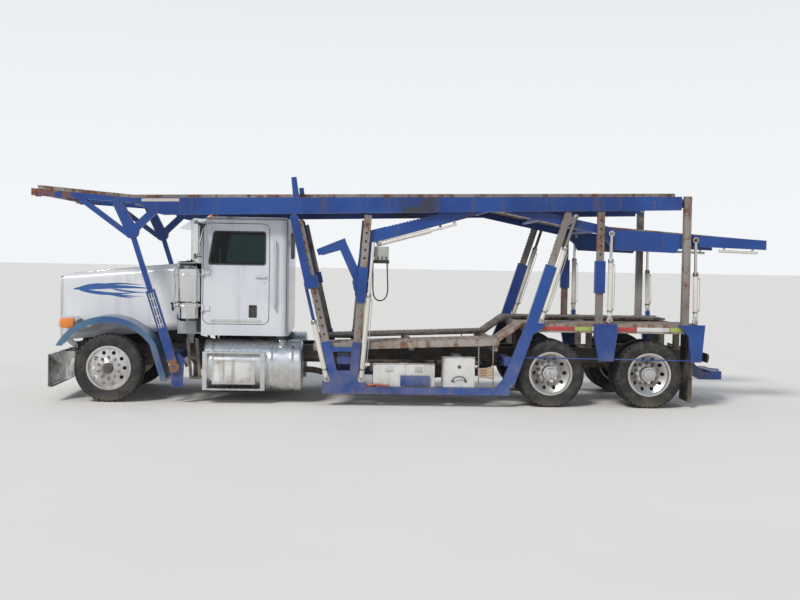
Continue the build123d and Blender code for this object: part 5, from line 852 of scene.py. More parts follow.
make_piece("cab_interior_trim", shape, trim_black, replaced=["cab_interior"])
dial_white = aged_finish(
    "dial_faces", (0.55, 0.56, 0.54), (0.6, 0.6, 0.58), 0.0, 0.2, 0.05, 0.3, 0.0, bump=0.02
)
dials = bmesh.new()
for y, z, radius in (
    (-0.585, 1.735, 0.042), (-0.47, 1.735, 0.042),
    *((y, z, 0.022) for y in (-0.675, -0.385, -0.333) for z in (1.76, 1.7)),
):
    back = at(1.2955 + (1.72 - z) * 0.087, y, z)
    add_round(dials, back, back + Vector((0.008, 0, 0.0007)), radius, 24, 0.0015)
make_piece("dials", dials, dial_white)


def circle(radius, reach, steps):
    """The section of a round ring, as distances and radii for add_spun."""
    turns = [2 * pi * n / steps for n in range(steps)]
    return [(radius * sin(turn), reach + radius * cos(turn)) for turn in turns]


hub = at(1.53, -SEAT_LINE, 1.69)
wheel_line = (hub - at(1.24, -SEAT_LINE, 1.56)).normalized()
upright = wheel_line.cross(Vector((0, 1, 0))).normalized()
downward = -upright if upright.z > 0 else upright
shape = bmesh.new()
add_spun(shape, hub, wheel_line, circle(0.014, 0.216, 10), 56, ring=True)
for out in (downward, *(upright * cos(turn) + Vector((0, 1, 0)) * sin(turn) for turn in (2.25, -2.25))):
    add_round(shape, hub + out * 0.02, hub + out * 0.212, 0.011, 8, 0.001, 0.009)
boss = ((-0.03, 0.03), (-0.01, 0.055), (0.008, 0.055), (0.014, 0.045), (0.016, 0.0))
add_spun(shape, hub, wheel_line, boss, 32)
make_piece("steering_wheel", shape, cap_black)

# Seats: foam cushions and backs in a woven charcoal cover, with three sewn channels and a bolster along
# each side. Each is crowned, and its sides pull in between the corners.
seat_cloth, tree = new_material("seat_charcoal_cloth")
place = object_place(tree)
threads = {"Vector": place, "Scale": 190.0}
weave = product(
    shader_node(tree, "TexWave", threads, bands_direction="Y").outputs[1],
    shader_node(tree, "TexWave", threads, bands_direction="DIAGONAL").outputs[1],
)
soiled = ramp(clouds(place, 5.0, 7.0), 0.4, 0.7)
tone = blend_in(weave, (0.028, 0.03, 0.034), (0.075, 0.078, 0.085))
set_surface(
    seat_cloth, Base_Color=blend_in(product(soiled, 0.35), tone, (0.12, 0.105, 0.085)), Roughness=0.9,
    Sheen_Weight=0.3, Normal=bumped(weave, 0.3, 0.0015),
)
SEAT_CHANNELS = (-0.44, 0.0, 0.44)
SEAT_CROWN = 0.3


def add_pad(shape, size, turn, middle):
    """A stuffed pad: a dense block whose top is crowned and channelled and whose sides pull in."""
    bmesh.ops.create_cube(shape, size=2.0)
    bmesh.ops.subdivide_edges(shape, edges=shape.edges[:], cuts=15, use_grid_fill=True)
    verts = shape.verts[:]
    for vert in verts:
        u, v, w = vert.co
        round_off = (1 - abs(u) ** 6) * (1 - abs(v) ** 6)
        swell = SEAT_CROWN * (1 - u * u) * (1 - v * v) + 0.18 * (round_off - 1)
        bolster = 0.1 * (abs(v) ** 4 - 0.4) * (1 - abs(u) ** 4)
        seam = sum(0.1 * max(0.0, 1 - abs(v - line) / 0.1) for line in SEAT_CHANNELS) * (1 - u ** 8)
        top = 1 + swell + bolster - seam if w > 0 else 1.0
        pull = 0.035 * (1 - w * w)
        vert.co = Vector((u * (1 - pull * (1 - v * v)), v * (1 - pull * (1 - u * u)), w * top))
    bmesh.ops.scale(shape, vec=size, verts=verts)
    bmesh.ops.rotate(shape, cent=(0, 0, 0), matrix=turn, verts=verts)
    bmesh.ops.translate(shape, vec=middle, verts=verts)


for hand, side in HANDS:
    for label, size, lean, x, z in (
        ("cushion", (0.245, 0.232, 0.062), -4.0, 1.915, 1.412),
        ("back", (0.32, 0.232, 0.052), -73.5, 2.185, 1.775),
    ):
        shape = bmesh.new()
        add_pad(shape, size, tilted(lean), at(x, side * SEAT_LINE, z))
        pad = make_piece("seat_%s_%s" % (label, hand), shape, seat_cloth, sharp=60)
        fuller = pad.modifiers.new("stuffing", "SUBSURF")
        fuller.levels = 1
        fuller.render_levels = 1
    sides = (side * SEAT_LINE - 0.15, side * SEAT_LINE + 0.15)
    shape = shaped(bars=[(2.2, y, 1.52, 2.285, y, 1.98, 0.009, 8) for y in sides])
    make_piece("seat_frame_" + hand, shape, cap_black)

# Hood details: a raised bead along the middle of the hood, rubber latches at its back corners, a clear
# lens in a bright rim for each headlamp, and a large amber turn lamp on the end of each pod.
shape = shaped(bars=[(-0.735, 0.0, 1.715, 0.855, 0.0, 1.884, 0.009, 12)])
make_piece("hood_bead", shape, chrome, "hood")
shape = shaped(blocks=[
    (0.77, -0.8, 1.33, 0.83, -0.78, 1.35), (0.785, -0.796, 1.24, 0.815, -0.782, 1.335)
])
make_piece("hood_latches", shape, seal_rubber, "hood", both=True)
rims = bmesh.new()
lenses = bmesh.new()
for middle in (-0.74, -0.89):
    outline = [at(-0.7082, y, z) for y, z in frame_of((middle - 0.068, 0.997), (middle + 0.068, 1.103))]
    add_gasket(rims, outline, 0.011, Vector((-0.007, 0, 0)), 0.016)
    add_block(lenses, at(-0.7125, middle - 0.057, 1.008), at(-0.706, middle + 0.057, 1.092), 0.003)
make_piece("headlamp_rims", rims, chrome, "hood", both=True)
make_piece("headlamp_lenses", lenses, lens_colours["clear_lens"], "hood", both=True)
shape = shaped(blocks=[(-0.69, -1.012, 0.985, -0.5, -0.957, 1.125, 0.022)])
make_piece("turn_lamps", shape, lens_colours["amber_lens"], "hood", both=True)
shape = bmesh.new()
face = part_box("bumper")[0][0]
add_block(shape, (face - 0.0005, -0.16, 0.47), (face + 0.004, 0.16, 0.63), 0.0015)
for y, z in frame_of((-0.145, 0.485), (0.145, 0.615)):
    add_round(shape, (face + 0.003, y, z), (face - 0.0005, y, z), 0.006, 6, 0.0005)
make_piece("blank_front_plate", shape, box_white)

# Engine and radiator: a painted iron block and gearbox. The radiator core ahead of it is a stack of thin
# fins, seen through the grille; the gaps between the fins are dented and painted near black, as painted
# shade.
engine_grey = aged_finish(
    "engine_grey_paint", (0.045, 0.048, 0.052), (0.075, 0.073, 0.07), 0.35, 0.8, 0.4, 0.55, 0.5, bump=0.5
)
parts = parted(object_place(engine_grey.node_tree))
# Thin near-black stripes in the radiator core: painted shade in the gaps between the fins.
fin_gap_shade = ramp(worked_out("PINGPONG", parts[2], 0.006), 0.002, 0.004)
fin_gap_shade = product(fin_gap_shade, worked_out("LESS_THAN", parts[0], FRONT_AXLE - 0.3))
set_surface(engine_grey, Base_Color=blend_in(fin_gap_shade, aged(engine_grey), (0.008, 0.008, 0.009)))
deepen(engine_grey, fin_gap_shade, -1.0)
dress(engine_grey, "engine_block")

# Fuel tanks: spun aluminium drums. Three stainless straps hold each tank, a filler with a locking cap
# stands at the back, raised grip ribs cross the steps and a white panel is bolted to the step frame.
TANK_LINE = -0.86
TANK_HEIGHT = 0.505
TANK_ROUND = 0.35
STRAP_PROFILE = [(along, TANK_ROUND + proud) for along, proud in (
    (-0.026, -0.001), (-0.026, 0.0035), (-0.02, 0.005), (0.02, 0.005), (0.026, 0.0035), (0.026, -0.001)
)]
straps = shaped(blocks=[
    (1.335 + n * 0.086, -1.215, z - 0.002, 1.355 + n * 0.086, -1.06, z + 0.004, 0.002)
    for z in (0.2105, 0.7105) for n in range(9)
])
for station in (1.395, 2.19, 2.47):
    add_spun(straps, at(station, TANK_LINE, TANK_HEIGHT), (1, 0, 0), STRAP_PROFILE, 72, ring=True)
out = Vector((0, -sin(radians(28)), cos(radians(28))))
neck = at(2.33, TANK_LINE, TANK_HEIGHT) + out * (TANK_ROUND - 0.004)
across = Vector((0.04, 0, 0))
add_round(straps, neck, neck + out * 0.022, 0.058, 32, 0.003)
add_round(straps, neck + out * 0.02, neck + out * 0.048, 0.05, 12, 0.004)
add_round(straps, neck + out * 0.052 - across, neck + out * 0.052 + across, 0.007, 8)
make_piece("tank_straps_and_caps", straps, chrome, both=True)
shape = shaped(blocks=[(1.425, -1.2215, 0.3, 1.955, -1.2175, 0.57, 0.0015)], bars=[
    (x, -1.221, z, x, -1.2255, z, 0.009, 6, 0.001) for x in (1.445, 1.69, 1.935) for z in (0.32, 0.55)
])
make_piece("tank_step_panels", shape, box_white, both=True)

# Cab steps: each black steel tread has five worn ribs across it for grip, welded on in a row.
shape = shaped(blocks=[
    (front + n * 0.023, -1.145, z - 0.002, front + n * 0.023 + 0.008, -0.925, z + 0.005, 0.0015)
    for z, front in ((0.354, 1.12), (0.624, 1.0955)) for n in range(5)
])
make_piece("step_grips", shape, mast_steel, both=True)

# Toolboxes: the long door has two stainless paddle latches and a blue steel pocket for chains bolted on,
# and the short door a black arched pull. A rain gutter runs over both.
BOX_FACE = -1.2045
shape = shaped(blocks=[
    (3.575, -1.215, 0.576, 4.425, -1.19, 0.581, 0.001), (4.535, -1.215, 0.676, 4.975, -1.19, 0.681, 0.001)
])
make_piece("toolbox_gutters", shape, box_white, both=True)
LATCHES = (3.8, 4.2)
shape = shaped(
    blocks=[
        *((x - 0.055, -1.2085, 0.462, x + 0.055, BOX_FACE, 0.538, 0.0015) for x in LATCHES),
        *((x - 0.038, -1.214, 0.48, x + 0.038, -1.208, 0.512, 0.002) for x in LATCHES),
    ],
    bars=[(x, -1.208, 0.524, x, -1.212, 0.524, 0.006, 12, 0.001) for x in LATCHES],
)
make_pair("toolbox_latches_", shape, chrome, "toolbox_door_1_")
shape = shaped(blocks=[(3.95, -1.242, 0.28, 4.35, BOX_FACE, 0.42, 0.005)])
lid = [item for item in shape.faces if item.normal.z > 0.9 and item.calc_area() > 0.005]
bmesh.ops.inset_region(shape, faces=lid, thickness=0.004, use_even_offset=True)
bmesh.ops.translate(shape, vec=(0, 0, -0.11), verts=once(vert for item in lid for vert in item.verts))
make_pair("chain_pocket_", shape, rack_blue, "toolbox_door_1_")


def add_pipe(shape, points, radius, sides=10):
    """A round tube bent along a run of points, each measured as at() does."""
    smooth = [at(*point) for point in points]
    for _ in range(2):
        cut = [smooth[0]]
        for first, second in zip(smooth, smooth[1:]):
            cut += [first.lerp(second, 0.25), first.lerp(second, 0.75)]
        smooth = cut + [smooth[-1]]
    last = None
    side_line = (smooth[1] - smooth[0]).normalized().orthogonal()
    for number, point in enumerate(smooth):
        ahead = (smooth[min(number + 1, len(smooth) - 1)] - smooth[max(number - 1, 0)]).normalized()
        side_line = (side_line - ahead * side_line.dot(ahead)).normalized()
        across = ahead.cross(side_line)
        turns = [2 * pi * step / sides for step in range(sides)]
        ring = [shape.verts.new(point + (side_line * cos(t) + across * sin(t)) * radius) for t in turns]
        edges = [shape.edges.new((ring[n], ring[(n + 1) % sides])) for n in range(sides)]
        if last:
            bmesh.ops.bridge_loops(shape, edges=last + edges)
        else:
            shape.faces.new(list(reversed(ring)))
        last = edges
    shape.faces.new(ring)


shape = shaped(bars=[
    *((x, BOX_FACE, 0.35, x, -1.209, 0.35, 0.018, 16, 0.001) for x in (4.665, 4.845)),
    (4.755, BOX_FACE, 0.545, 4.755, -1.211, 0.545, 0.024, 20, 0.002),
])
add_pipe(shape, (
    (4.665, -1.203, 0.35), (4.665, -1.228, 0.352), (4.675, -1.243, 0.39), (4.72, -1.246, 0.415),
    (4.79, -1.246, 0.415), (4.835, -1.243, 0.39), (4.845, -1.228, 0.352), (4.845, -1.203, 0.35),
), 0.008)
make_pair("toolbox_pull_", shape, cap_black, "toolbox_door_2_")

# Front legs: blue channels whose outer faces carry a pale slotted wear plate, with rungs across the slots.
# The slots are not cut: they are dented and painted dark blue, as painted shade.
# The forked foot round the lower pin has lost its paint and is brown with rust.
leg_paint = blue_paint("front_leg_paint")
tree = leg_paint.node_tree
place = object_place(tree)
LEG_FOOT = (0.9, 0.5)
LEG_UP = (-0.3052, 0, 0.9523)
LEG_OFF = (0.9523, 0, 0.3052)
foot = at(LEG_FOOT[0], 0.0, LEG_FOOT[1])
from_foot = shader_node(tree, "VectorMath", {0: place, 1: foot}, operation="SUBTRACT").outputs[0]
up_leg = dotted(from_foot, LEG_UP)
off_leg = worked_out("ABSOLUTE", dotted(from_foot, LEG_OFF))
plate = product(ramp(up_leg, 0.555, 0.56), ramp(up_leg, 1.045, 1.04), ramp(off_leg, 0.037, 0.035))
rungs = ramp(worked_out("PINGPONG", up_leg, 0.06), 0.005, 0.008)
# The slots between the rungs are painted dark blue with a dent: painted shade behind the plate.
slot_shade = product(ramp(off_leg, 0.007, 0.009), ramp(off_leg, 0.027, 0.025), rungs, plate)
tone = blend_in(product(plate, 0.9), aged(leg_paint), (0.52, 0.54, 0.56))
tone = blend_in(slot_shade, tone, (0.01, 0.02, 0.06))
near = worked_out("SQRT", worked_out("MULTIPLY_ADD", up_leg, up_leg, product(off_leg, off_leg)))
bare = ramp(worked_out("MULTIPLY_ADD", clouds(place, 30.0), 0.06, near), 0.15, 0.125)
rust_tone = blend_in(clouds(place, 45.0), (0.06, 0.028, 0.016), (0.34, 0.17, 0.085))
set_surface(leg_paint, Base_Color=blend_in(bare, tone, rust_tone))
deepen(leg_paint, slot_shade, -2.0)
dress(leg_paint, "front_leg_channels")

# Upper rails: the long side beams. The nose ahead of the cab is rusted through its paint, a blank pale
# plate is riveted near the front, and a cloudy near-black patch darkens each beam some way behind the cab.
RAIL_SLOPE = 0.02133
RAIL_TOP = 2.7547
RAIL_FACE = 1.29
rail_paint = blue_paint("upper_rail_paint")
tree = rail_paint.node_tree
place = object_place(tree)
parts = parted(place)
rusting = ramp(parts[0], FRONT_AXLE - 0.25, FRONT_AXLE - 0.85, 0.3, 0.92)
tree.links.new(rusting, tree.nodes["age"].inputs["Rust share"])
below_top = worked_out("MULTIPLY_ADD", parts[0], RAIL_SLOPE, RAIL_TOP - RAIL_SLOPE * FRONT_AXLE)
below_top = worked_out("SUBTRACT", below_top, parts[2])
label = product(
    ramp(below_top, 0.01, 0.012), ramp(below_top, 0.052, 0.05),
    ramp(parts[0], FRONT_AXLE + 0.45, FRONT_AXLE + 0.452),
    ramp(parts[0], FRONT_AXLE + 0.95, FRONT_AXLE + 0.948),
    worked_out("GREATER_THAN", worked_out("ABSOLUTE", parts[1]), RAIL_FACE),
)
# A cloudy near-black patch darkens each beam, 3.85 to 4.5 m behind the front axle.
rubbed = product(
    ramp(parts[0], FRONT_AXLE + 3.85, FRONT_AXLE + 4.0), ramp(parts[0], FRONT_AXLE + 4.5, FRONT_AXLE + 4.3),
    ramp(clouds(place, 8.0, 8.0), 0.38, 0.55, 0.0, 0.85),
)
tone = blend_in(rubbed, aged(rail_paint), (0.03, 0.028, 0.03))
stained = blend_in(clouds(place, 20.0, 8.0), (0.6, 0.58, 0.52), (0.4, 0.34, 0.27))
set_surface(rail_paint, Base_Color=blend_in(label, tone, stained))
dress(rail_paint, "upper_rails")

# Nose lamps: two small red marker lamps of moulded plastic stand on the rail at each side of the upper
# deck's nose.
shape = shaped(blocks=[(x, -1.285, 2.752, x + 0.07, -1.225, 2.7745, 0.006) for x in (-0.95, -0.8)])
make_piece("nose_lamps", shape, lens_colours["red_lens"], "upper_deck", both=True)

# Mast holes: a row of round holes down each mast takes the locking pins, with worn edges. The holes are not
# cut: each is a thin black disc, painted shade for the dark inside it. They end flush with the mast, so the
# sliding sleeves pass over them.
MAST_FACE = -1.2797
HOLE_RADIUS = 0.0165
HOLE_STEP = 0.115
RIM_PROFILE = ((0.0, 0.0215), (0.0005, 0.0205), (0.0005, HOLE_RADIUS), (0.0, HOLE_RADIUS))
hole_shade_discs = bmesh.new()
rims = bmesh.new()
for foot_x, foot_z, head_x, head_z, distance, count in (
    (3.06, 0.33, 2.545, 2.5, 0.66, 14),
    (3.31, 0.33, 3.478, 2.59, 1.68, 5),
    (6.65, 1.165, 6.65, 2.7, 0.95, 5),
):
    line = Vector((head_x - foot_x, 0, head_z - foot_z)).normalized()
    for number in range(count):
        middle = at(foot_x, MAST_FACE, foot_z) + line * (distance + number * HOLE_STEP)
        # A thin black disc for each hole: painted shade where the hole's dark inside would be.
        add_round(hole_shade_discs, middle, middle - Vector((0, 0.00045, 0)), HOLE_RADIUS, 14, 0)
        add_spun(rims, middle, (0, -1, 0), RIM_PROFILE, 16, ring=True)
make_piece("mast_hole_shade_discs", hole_shade_discs, cap_black, both=True)
make_piece("mast_hole_rims", rims, mast_steel, both=True)

# Pins and gland nuts: each cylinder turns on a headed steel pin with a split cotter, and a ring nut closes
# the barrel where the rod comes out. A thin steel line runs up each barrel to its upper port.
CYLINDER_LINE = -1.255
GLAND_PROFILE = (
    (-0.045, 0.0355), (-0.045, 0.0385), (-0.038, 0.0395), (-0.008, 0.0395), (0.002, 0.036), (0.01, 0.031),
    (0.01, 0.0225), (-0.045, 0.0225),
)
FOOT_RING = ((-0.012, 0.0355), (-0.012, 0.0385), (0.012, 0.0385), (0.012, 0.0355))
for name, body, foot_x, foot_z, eye_x, eye_z, barrel in (
    ("mast_a", "truck", 2.947, 0.372, 2.64, 1.666, 0.8),
    ("mast_b", "truck", 3.416, 0.372, 3.554, 2.227, 1.15),
    ("diagonal", "truck", 5.856, 1.2, 6.304, 2.621, 1.05),
    ("mid", "mid_barrels", 6.8, 1.215, 6.8, 2.4, 0.83),
    ("tail", "tail_barrels", 7.99, 1.215, 7.965, 2.33, 0.665),
):
    line = Vector((eye_x - foot_x, eye_z - foot_z)).normalized()

    def beside(distance, offset=0.0):
        """A station, a place across and a height along this cylinder, set off to its front."""
        x = foot_x + line.x * distance - line.y * offset
        return x, CYLINDER_LINE, foot_z + line.y * distance + line.x * offset

    nuts = bmesh.new()
    lines = bmesh.new()
    axis = (line.x, 0, line.y)
    add_spun(nuts, at(*beside(barrel)), axis, GLAND_PROFILE, 32, ring=True)
    add_spun(nuts, at(*beside(0.125)), axis, FOOT_RING, 32, ring=True)
    add_round(nuts, at(foot_x, -1.2845, foot_z), at(foot_x, -1.292, foot_z), 0.026, 20, 0.002)
    for distance in (0.15, barrel - 0.075):
        add_round(nuts, at(*beside(distance, -0.033)), at(*beside(distance, -0.052)), 0.011, 6, 0.001)
    add_pipe(lines, [beside(distance, offset) for distance, offset in (
        (0.15, -0.044), (0.16, -0.056), (0.22, -0.058), (0.45, -0.057), (barrel - 0.14, -0.058),
        (barrel - 0.085, -0.056), (barrel - 0.075, -0.044),
    )], 0.005, 8)
    make_piece("cylinder_nuts_" + name, nuts, nut_steel, body, both=True)
    make_piece("cylinder_lines_" + name, lines, rod_steel, body, both=True)
for body, x, z, face in (
    ("mid_rods", 6.8, 2.4, -1.27),
    ("tail_rods", 7.965, 2.33, -1.27),
    ("diagonal_masts", 6.304, 2.621, -1.275),
):
    shape = shaped(bars=[
        (x, face, z, x, face - 0.006, z, 0.029, 20, 0.001),
        (x, face - 0.004, z, x, face - 0.016, z, 0.0175, 20, 0.002),
        (x, face - 0.011, z + 0.024, x, face - 0.011, z - 0.028, 0.0028, 6, 0.0005),
    ])
    make_piece("pin_heads_" + body, shape, nut_steel, body, both=True)
BASE_BOLTS = ((3.1, 0.3), (3.27, 0.3), (2.96, 0.3), (3.43, 0.3), (3.13, 0.44), (3.24, 0.44))
shape = shaped(bars=[(x, -1.2155, z, x, -1.203, z, 0.017, 6, 0.001) for x, z in BASE_BOLTS])
for x, z, radius, inner, outer in (
    (3.4, 1.62, 0.044, -1.1355, -1.1215),
    (7.84, 2.83, 0.04, -1.1555, -1.1435),
    (*LEG_FOOT, 0.04, -1.2155, -1.2035),
):
    add_round(shape, at(x, inner, z), at(x, outer, z), radius, 24, 0.003)
    add_round(shape, at(x, outer - 0.002, z), at(x, outer + 0.01, z), radius * 0.45, 6, 0.001)
make_piece("pivot_pin_heads", shape, nut_steel, both=True)

# Hydraulic valve: a grey steel box on the driver's side arm, with a black valve below it and three levers.
# One rubber hose leaves the valve, hangs in a loop and comes back to its second port.
valve_grey = aged_finish(
    "valve_grey_paint", (0.3, 0.31, 0.31), (0.38, 0.38, 0.36), 0.25, 0.5, 0.5, 0.5, 0.6
)
screws = frame_of((3.59, 2.005), (3.745, 2.15))
shape = shaped(
    blocks=[
        (3.57, -1.19, 1.985, 3.765, -1.075, 2.17, 0.008),
        (3.52, -1.165, 2.035, 3.58, -1.125, 2.075),
        (3.52, -1.165, 2.105, 3.59, -1.125, 2.145),
    ],
    bars=[(x, -1.1895, z, x, -1.196, z, 0.007, 6, 0.001) for x, z in screws],
)
make_piece("valve_box", shape, valve_grey, "mid_deck")
shape = shaped(blocks=[(3.535, -1.175, 1.94, 3.775, -1.11, 1.987, 0.006)])
for x in (3.61, 3.665, 3.72):
    add_round(shape, at(x, -1.172, 1.962), at(x, -1.184, 1.962), 0.012, 16, 0.001)
    add_round(shape, at(x, -1.182, 1.962), at(x + 0.01, -1.2, 2.02), 0.005, 8, 0.001)
    add_dome(shape, at(x + 0.01, -1.2, 2.018), (0.05, -0.2, 1), (0.01, 0.01, 0.018))
make_piece("valve", shape, cap_black, "mid_deck")
hose_rubber = aged_finish(
    "hose_black_rubber", (0.012, 0.012, 0.012), (0.03, 0.03, 0.03), 0.0, 0.6, 0.2, 0.55, 0.3, bump=0.2
)
HOSE_ROUND = 0.018
HOSE_ROUTE = (
    (3.552, -1.145, 1.925), (3.553, -1.145, 1.83), (3.557, -1.147, 1.71), (3.556, -1.15, 1.57),
    (3.58, -1.153, 1.462), (3.655, -1.154, 1.422), (3.735, -1.153, 1.462), (3.764, -1.15, 1.57),
    (3.756, -1.147, 1.71), (3.751, -1.145, 1.83), (3.75, -1.145, 1.925),
)
PORTS = (3.552, 3.75)
shape = shaped(bars=[
    *((x, -1.145, 1.943, x, -1.145, 1.922, 0.016, 6, 0.001) for x in PORTS),
    *((x, -1.145, 1.924, x, -1.145, 1.88, 0.0125, 16, 0.002) for x in PORTS),
])
fittings = make_piece("hose_fittings", shape, nut_steel, "mid_deck")
hose_line = bpy.data.curves.new("valve_hose", "CURVE")
hose_line.dimensions = "3D"
run = hose_line.splines.new("NURBS")
run.points.add(len(HOSE_ROUTE) - 1)
for point, place in zip(run.points, HOSE_ROUTE):
    point.co = (*at(*place), 1.0)
run.order_u = 3
run.use_endpoint_u = True
run.resolution_u = 10
hose_line.bevel_depth = HOSE_ROUND / 2
hose_line.bevel_resolution = 4
hose_line.use_fill_caps = True
hose_line.materials.append(hose_rubber)
hose = bpy.data.objects.new("valve_hose", hose_line)
scene.collection.objects.link(hose)
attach(hose, "mid_deck")

# Sill rigging: a red forged load binder lies along each sill. Behind the short toolbox two thin steel tie
# rods run up to the ramp, with a tan webbing strap wound round them.
binder_red = aged_finish(
    "binder_red_paint", (0.42, 0.022, 0.018), (0.5, 0.07, 0.05), 0.35, 0.6, 0.4, 0.45, 0.6, bump=0.4
)
shape = shaped(bars=[(3.49, -1.255, 0.278, 3.62, -1.24, 0.283, 0.018, 12, 0.003)])
handle = ((3.5, 0.272), (3.54, 0.288), (3.6, 0.296), (3.7, 0.29), (3.79, 0.272))
add_pipe(shape, [(x, -1.255, z) for x, z in handle], 0.014, 12)
for x in (3.505, 3.785):
    add_spun(shape, at(x, -1.255, 0.286), (0, 1, 0), circle(0.0045, 0.02, 8), 20, ring=True)
make_piece("load_binders", shape, binder_red, both=True)
shape = shaped(bars=[
    *((x, -1.228, 0.26, x, -1.18, top, 0.008, 10, 0.001) for x, top in ((5.02, 0.8375), (5.22, 0.845))),
    *((x, -1.228, 0.262, x, -1.2265, 0.285, 0.015, 6, 0.001) for x in (5.02, 5.22)),
])
make_piece("tie_rods", shape, mast_steel, both=True)
strap_tan = aged_finish(
    "strap_tan_webbing", (0.36, 0.22, 0.11), (0.45, 0.31, 0.19), 0.0, 0.6, 0.5, 0.85, 0.2, bump=0.5
)
shape = shaped(blocks=[
    (5.01, -1.226, z, 5.232, -1.2, z + 0.03, 0.006, tilted(slant))
    for z, slant in ((0.395, 6.0), (0.432, 2.0), (0.47, -2.0), (0.508, -6.0))
])
make_piece("wound_straps", shape, strap_tan, both=True)

# Deck edge: lengths of reflecting tape in red, white and yellow-green on the skirt over the drive wheels,
# with a round lamp at each end.
SKIRT_FACE = -1.1948
for name, deep, bright, lengths in (
    ("red", (0.34, 0.012, 0.01), (0.5, 0.03, 0.02), ((5.66, 5.87), (5.89, 6.33), (6.89, 7.19))),
    ("white", (0.55, 0.55, 0.53), (0.7, 0.7, 0.68), ((6.575, 6.87), (7.2, 7.65))),
    ("yellow_green", (0.3, 0.4, 0.06), (0.46, 0.55, 0.16), ((6.34, 6.565), (7.665, 7.9))),
):
    tape = aged_finish(
        name + "_reflecting_tape", deep, bright, 0.0, 0.5, 0.4, 0.25, 0.2, bump=0.1, Coat_Weight=0.5
    )
    place = object_place(tape.node_tree)
    cells = shader_node(tape.node_tree, "TexVoronoi", {"Vector": place, "Scale": 130.0}).outputs["Distance"]
    set_surface(tape, Base_Color=blend_in(ramp(cells, 0.3, 0.55, 0.0, 0.5), aged(tape), deep))
    shape = shaped(blocks=[(x, -1.1965, 1.062, end, SKIRT_FACE, 1.118, 0.0004) for x, end in lengths])
    make_piece("deck_tape_" + name, shape, tape, both=True)
for lens_name, x in (("amber_lens", 5.69), ("red_lens", 8.01)):
    shape = bmesh.new()
    add_dome(shape, at(x, SKIRT_FACE, 1.09), (0, -1, 0), (0.024, 0.024, 0.018))
    make_piece("deck_" + lens_name, shape, lens_colours[lens_name], both=True)

# Tail bars: a steel tube in cream paint hangs under each side of the tail, on two flat straps.
shape = shaped(
    blocks=[
        (8.378, -1.184, 2.186, 8.402, -1.156, 2.236, 0.003),
        (8.778, -1.184, 2.174, 8.802, -1.156, 2.224, 0.003),
    ],
    bars=[(8.32, -1.17, 2.188, 8.86, -1.17, 2.172, 0.019, 16, 0.003)],
)
make_piece("tail_bars", shape, cylinder_white, "mid_deck", both=True)

# Tail lamps: six red lenses, each seated in a rubber ring on the bar, with a blank plate between them.
LAMP_RING = (
    (-0.026, 0.0525), (-0.026, 0.06), (-0.006, 0.06), (0.006, 0.056), (0.006, 0.047), (-0.001, 0.046)
)
rings = bmesh.new()
lenses = bmesh.new()
for y in (-0.62, -0.76, -0.9):
    add_spun(rings, at(8.287, y, 0.69), (1, 0, 0), LAMP_RING, 40, ring=True)
    add_dome(lenses, at(8.286, y, 0.69), (1, 0, 0), (0.047, 0.047, 0.014))
make_piece("tail_lamp_rings", rings, seal_rubber, both=True)
make_piece("tail_lamp_lenses", lenses, lens_colours["red_lens"], both=True)
screws = frame_of((-0.14, 0.64), (0.14, 0.74))
shape = shaped(
    blocks=[(8.2615, -0.155, 0.628, 8.266, 0.155, 0.752, 0.0015)],
    bars=[(8.2655, y, z, 8.27, y, z, 0.006, 6, 0.0005) for y, z in screws],
)
make_piece("blank_rear_plate", shape, box_white)

# Mud flaps: sheets of black rubber, scuffed grey at the foot. Each hangs from a steel angle and is held
# down by a weighted strip.
flap_rubber = aged_finish(
    "flap_black_rubber", (0.016, 0.016, 0.016), (0.045, 0.043, 0.04), 0.0, 0.95, 0.4, 0.75, 0.6, bump=0.4
)
dress(flap_rubber, "mudflaps")
shape = shaped(
    blocks=[
        (7.974, -1.155, 1.0, 7.986, -0.595, 1.042, 0.002),
        (7.999, -1.155, 1.0, 8.007, -0.595, 1.042, 0.002),
        (7.999, -1.14, 0.09, 8.006, -0.61, 0.135, 0.002),
    ],
    bars=[(8.006, y, 1.021, 8.014, y, 1.021, 0.01, 6, 0.001) for y in (-1.1, -0.96, -0.8, -0.65)],
)
make_piece("flap_irons", shape, nut_steel, both=True)

# Under the frame: two black air tanks in steel bands, a brake chamber at each end of the drive axles, and
# the silencer with its pipe below the gearbox.
TANK_HALF = ((0.29, 0.11), (0.31, 0.108), (0.345, 0.09), (0.366, 0.055), (0.37, 0.0))
CHAMBER_PROFILE = (
    (-0.01, 0.0), (-0.01, 0.06), (0.01, 0.078), (0.05, 0.08), (0.056, 0.086), (0.066, 0.086),
    (0.072, 0.08), (0.13, 0.078), (0.16, 0.06), (0.165, 0.0),
)
SILENCER_HALF = ((0.395, 0.104), (0.41, 0.1), (0.44, 0.056), (0.47, 0.052), (0.47, 0.0))
TANK_BAND = ((-0.018, 0.1095), (-0.018, 0.114), (0.018, 0.114), (0.018, 0.1095))


def both_ends(half):
    """A drum's whole profile, from the half behind its middle."""
    return [(-along, radius) for along, radius in reversed(half)] + list(half)


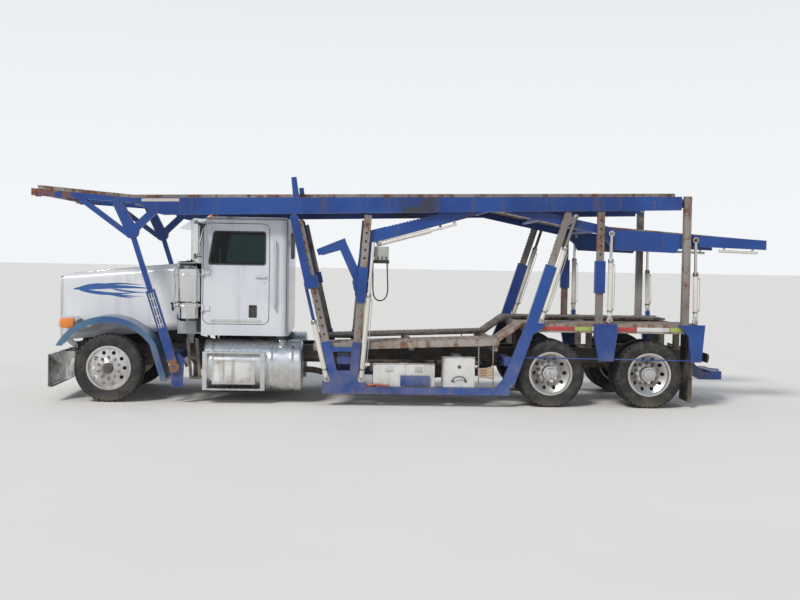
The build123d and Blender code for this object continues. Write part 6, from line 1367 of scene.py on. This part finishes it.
BAND_PLACES = (4.5, 4.94)
tanks = bmesh.new()
bands = shaped(
    blocks=[
        *((x - 0.018, -0.358, 0.405, x + 0.018, -0.345, 0.565, 0.003) for x in BAND_PLACES),
        *((x + 0.035, -0.562, 0.45, x + 0.06, -0.538, 0.575) for _, x in TWINS),
        *((x - 0.02, -0.58, 0.505, x + 0.15, -0.52, 0.53, 0.005) for _, x in TWINS),
    ],
    bars=[(x + 0.15, -0.55, 0.56, x + 0.05, -0.55, 0.55, 0.009, 10, 0.001) for _, x in TWINS],
)
add_spun(tanks, at(4.72, -0.25, 0.405), (1, 0, 0), both_ends(TANK_HALF), 40)
for x in BAND_PLACES:
    add_spun(bands, at(x, -0.25, 0.405), (1, 0, 0), TANK_BAND, 40, ring=True)
for _, station in TWINS:
    add_spun(tanks, at(station + 0.15, -0.55, 0.56), (1, 0, 0), CHAMBER_PROFILE, 32)
make_piece("air_tanks_and_chambers", tanks, cap_black, both=True)
make_piece("tank_bands_and_levers", bands, axle_iron, both=True)
HANGERS = (1.62, 2.18)
PIPE_ROUND = 0.045
shape = shaped(blocks=[
    *((x - 0.015, 0.3, 0.35, x + 0.015, 0.312, 0.5, 0.003) for x in HANGERS),
    *((x - 0.015, 0.3, 0.49, x + 0.015, 0.365, 0.502, 0.003) for x in HANGERS),
    *((x - 0.015, 0.353, 0.49, x + 0.015, 0.365, 0.565, 0.003) for x in HANGERS),
])
add_spun(shape, at(1.9, 0.215, 0.345), (1, 0, 0), both_ends(SILENCER_HALF), 40)
down_pipe = ((0.95, 0.625), (0.955, 0.52), (1.0, 0.4), (1.15, 0.345), (1.3, 0.345), (1.48, 0.345))
add_pipe(shape, [(x, 0.215, z) for x, z in down_pipe], PIPE_ROUND, 20)
add_pipe(shape, (
    (2.33, 0.215, 0.345), (2.55, 0.215, 0.345), (2.72, 0.225, 0.34), (2.82, 0.3, 0.31),
    (2.84, 0.42, 0.29),
), PIPE_ROUND, 20)
make_piece("silencer", shape, mast_steel)
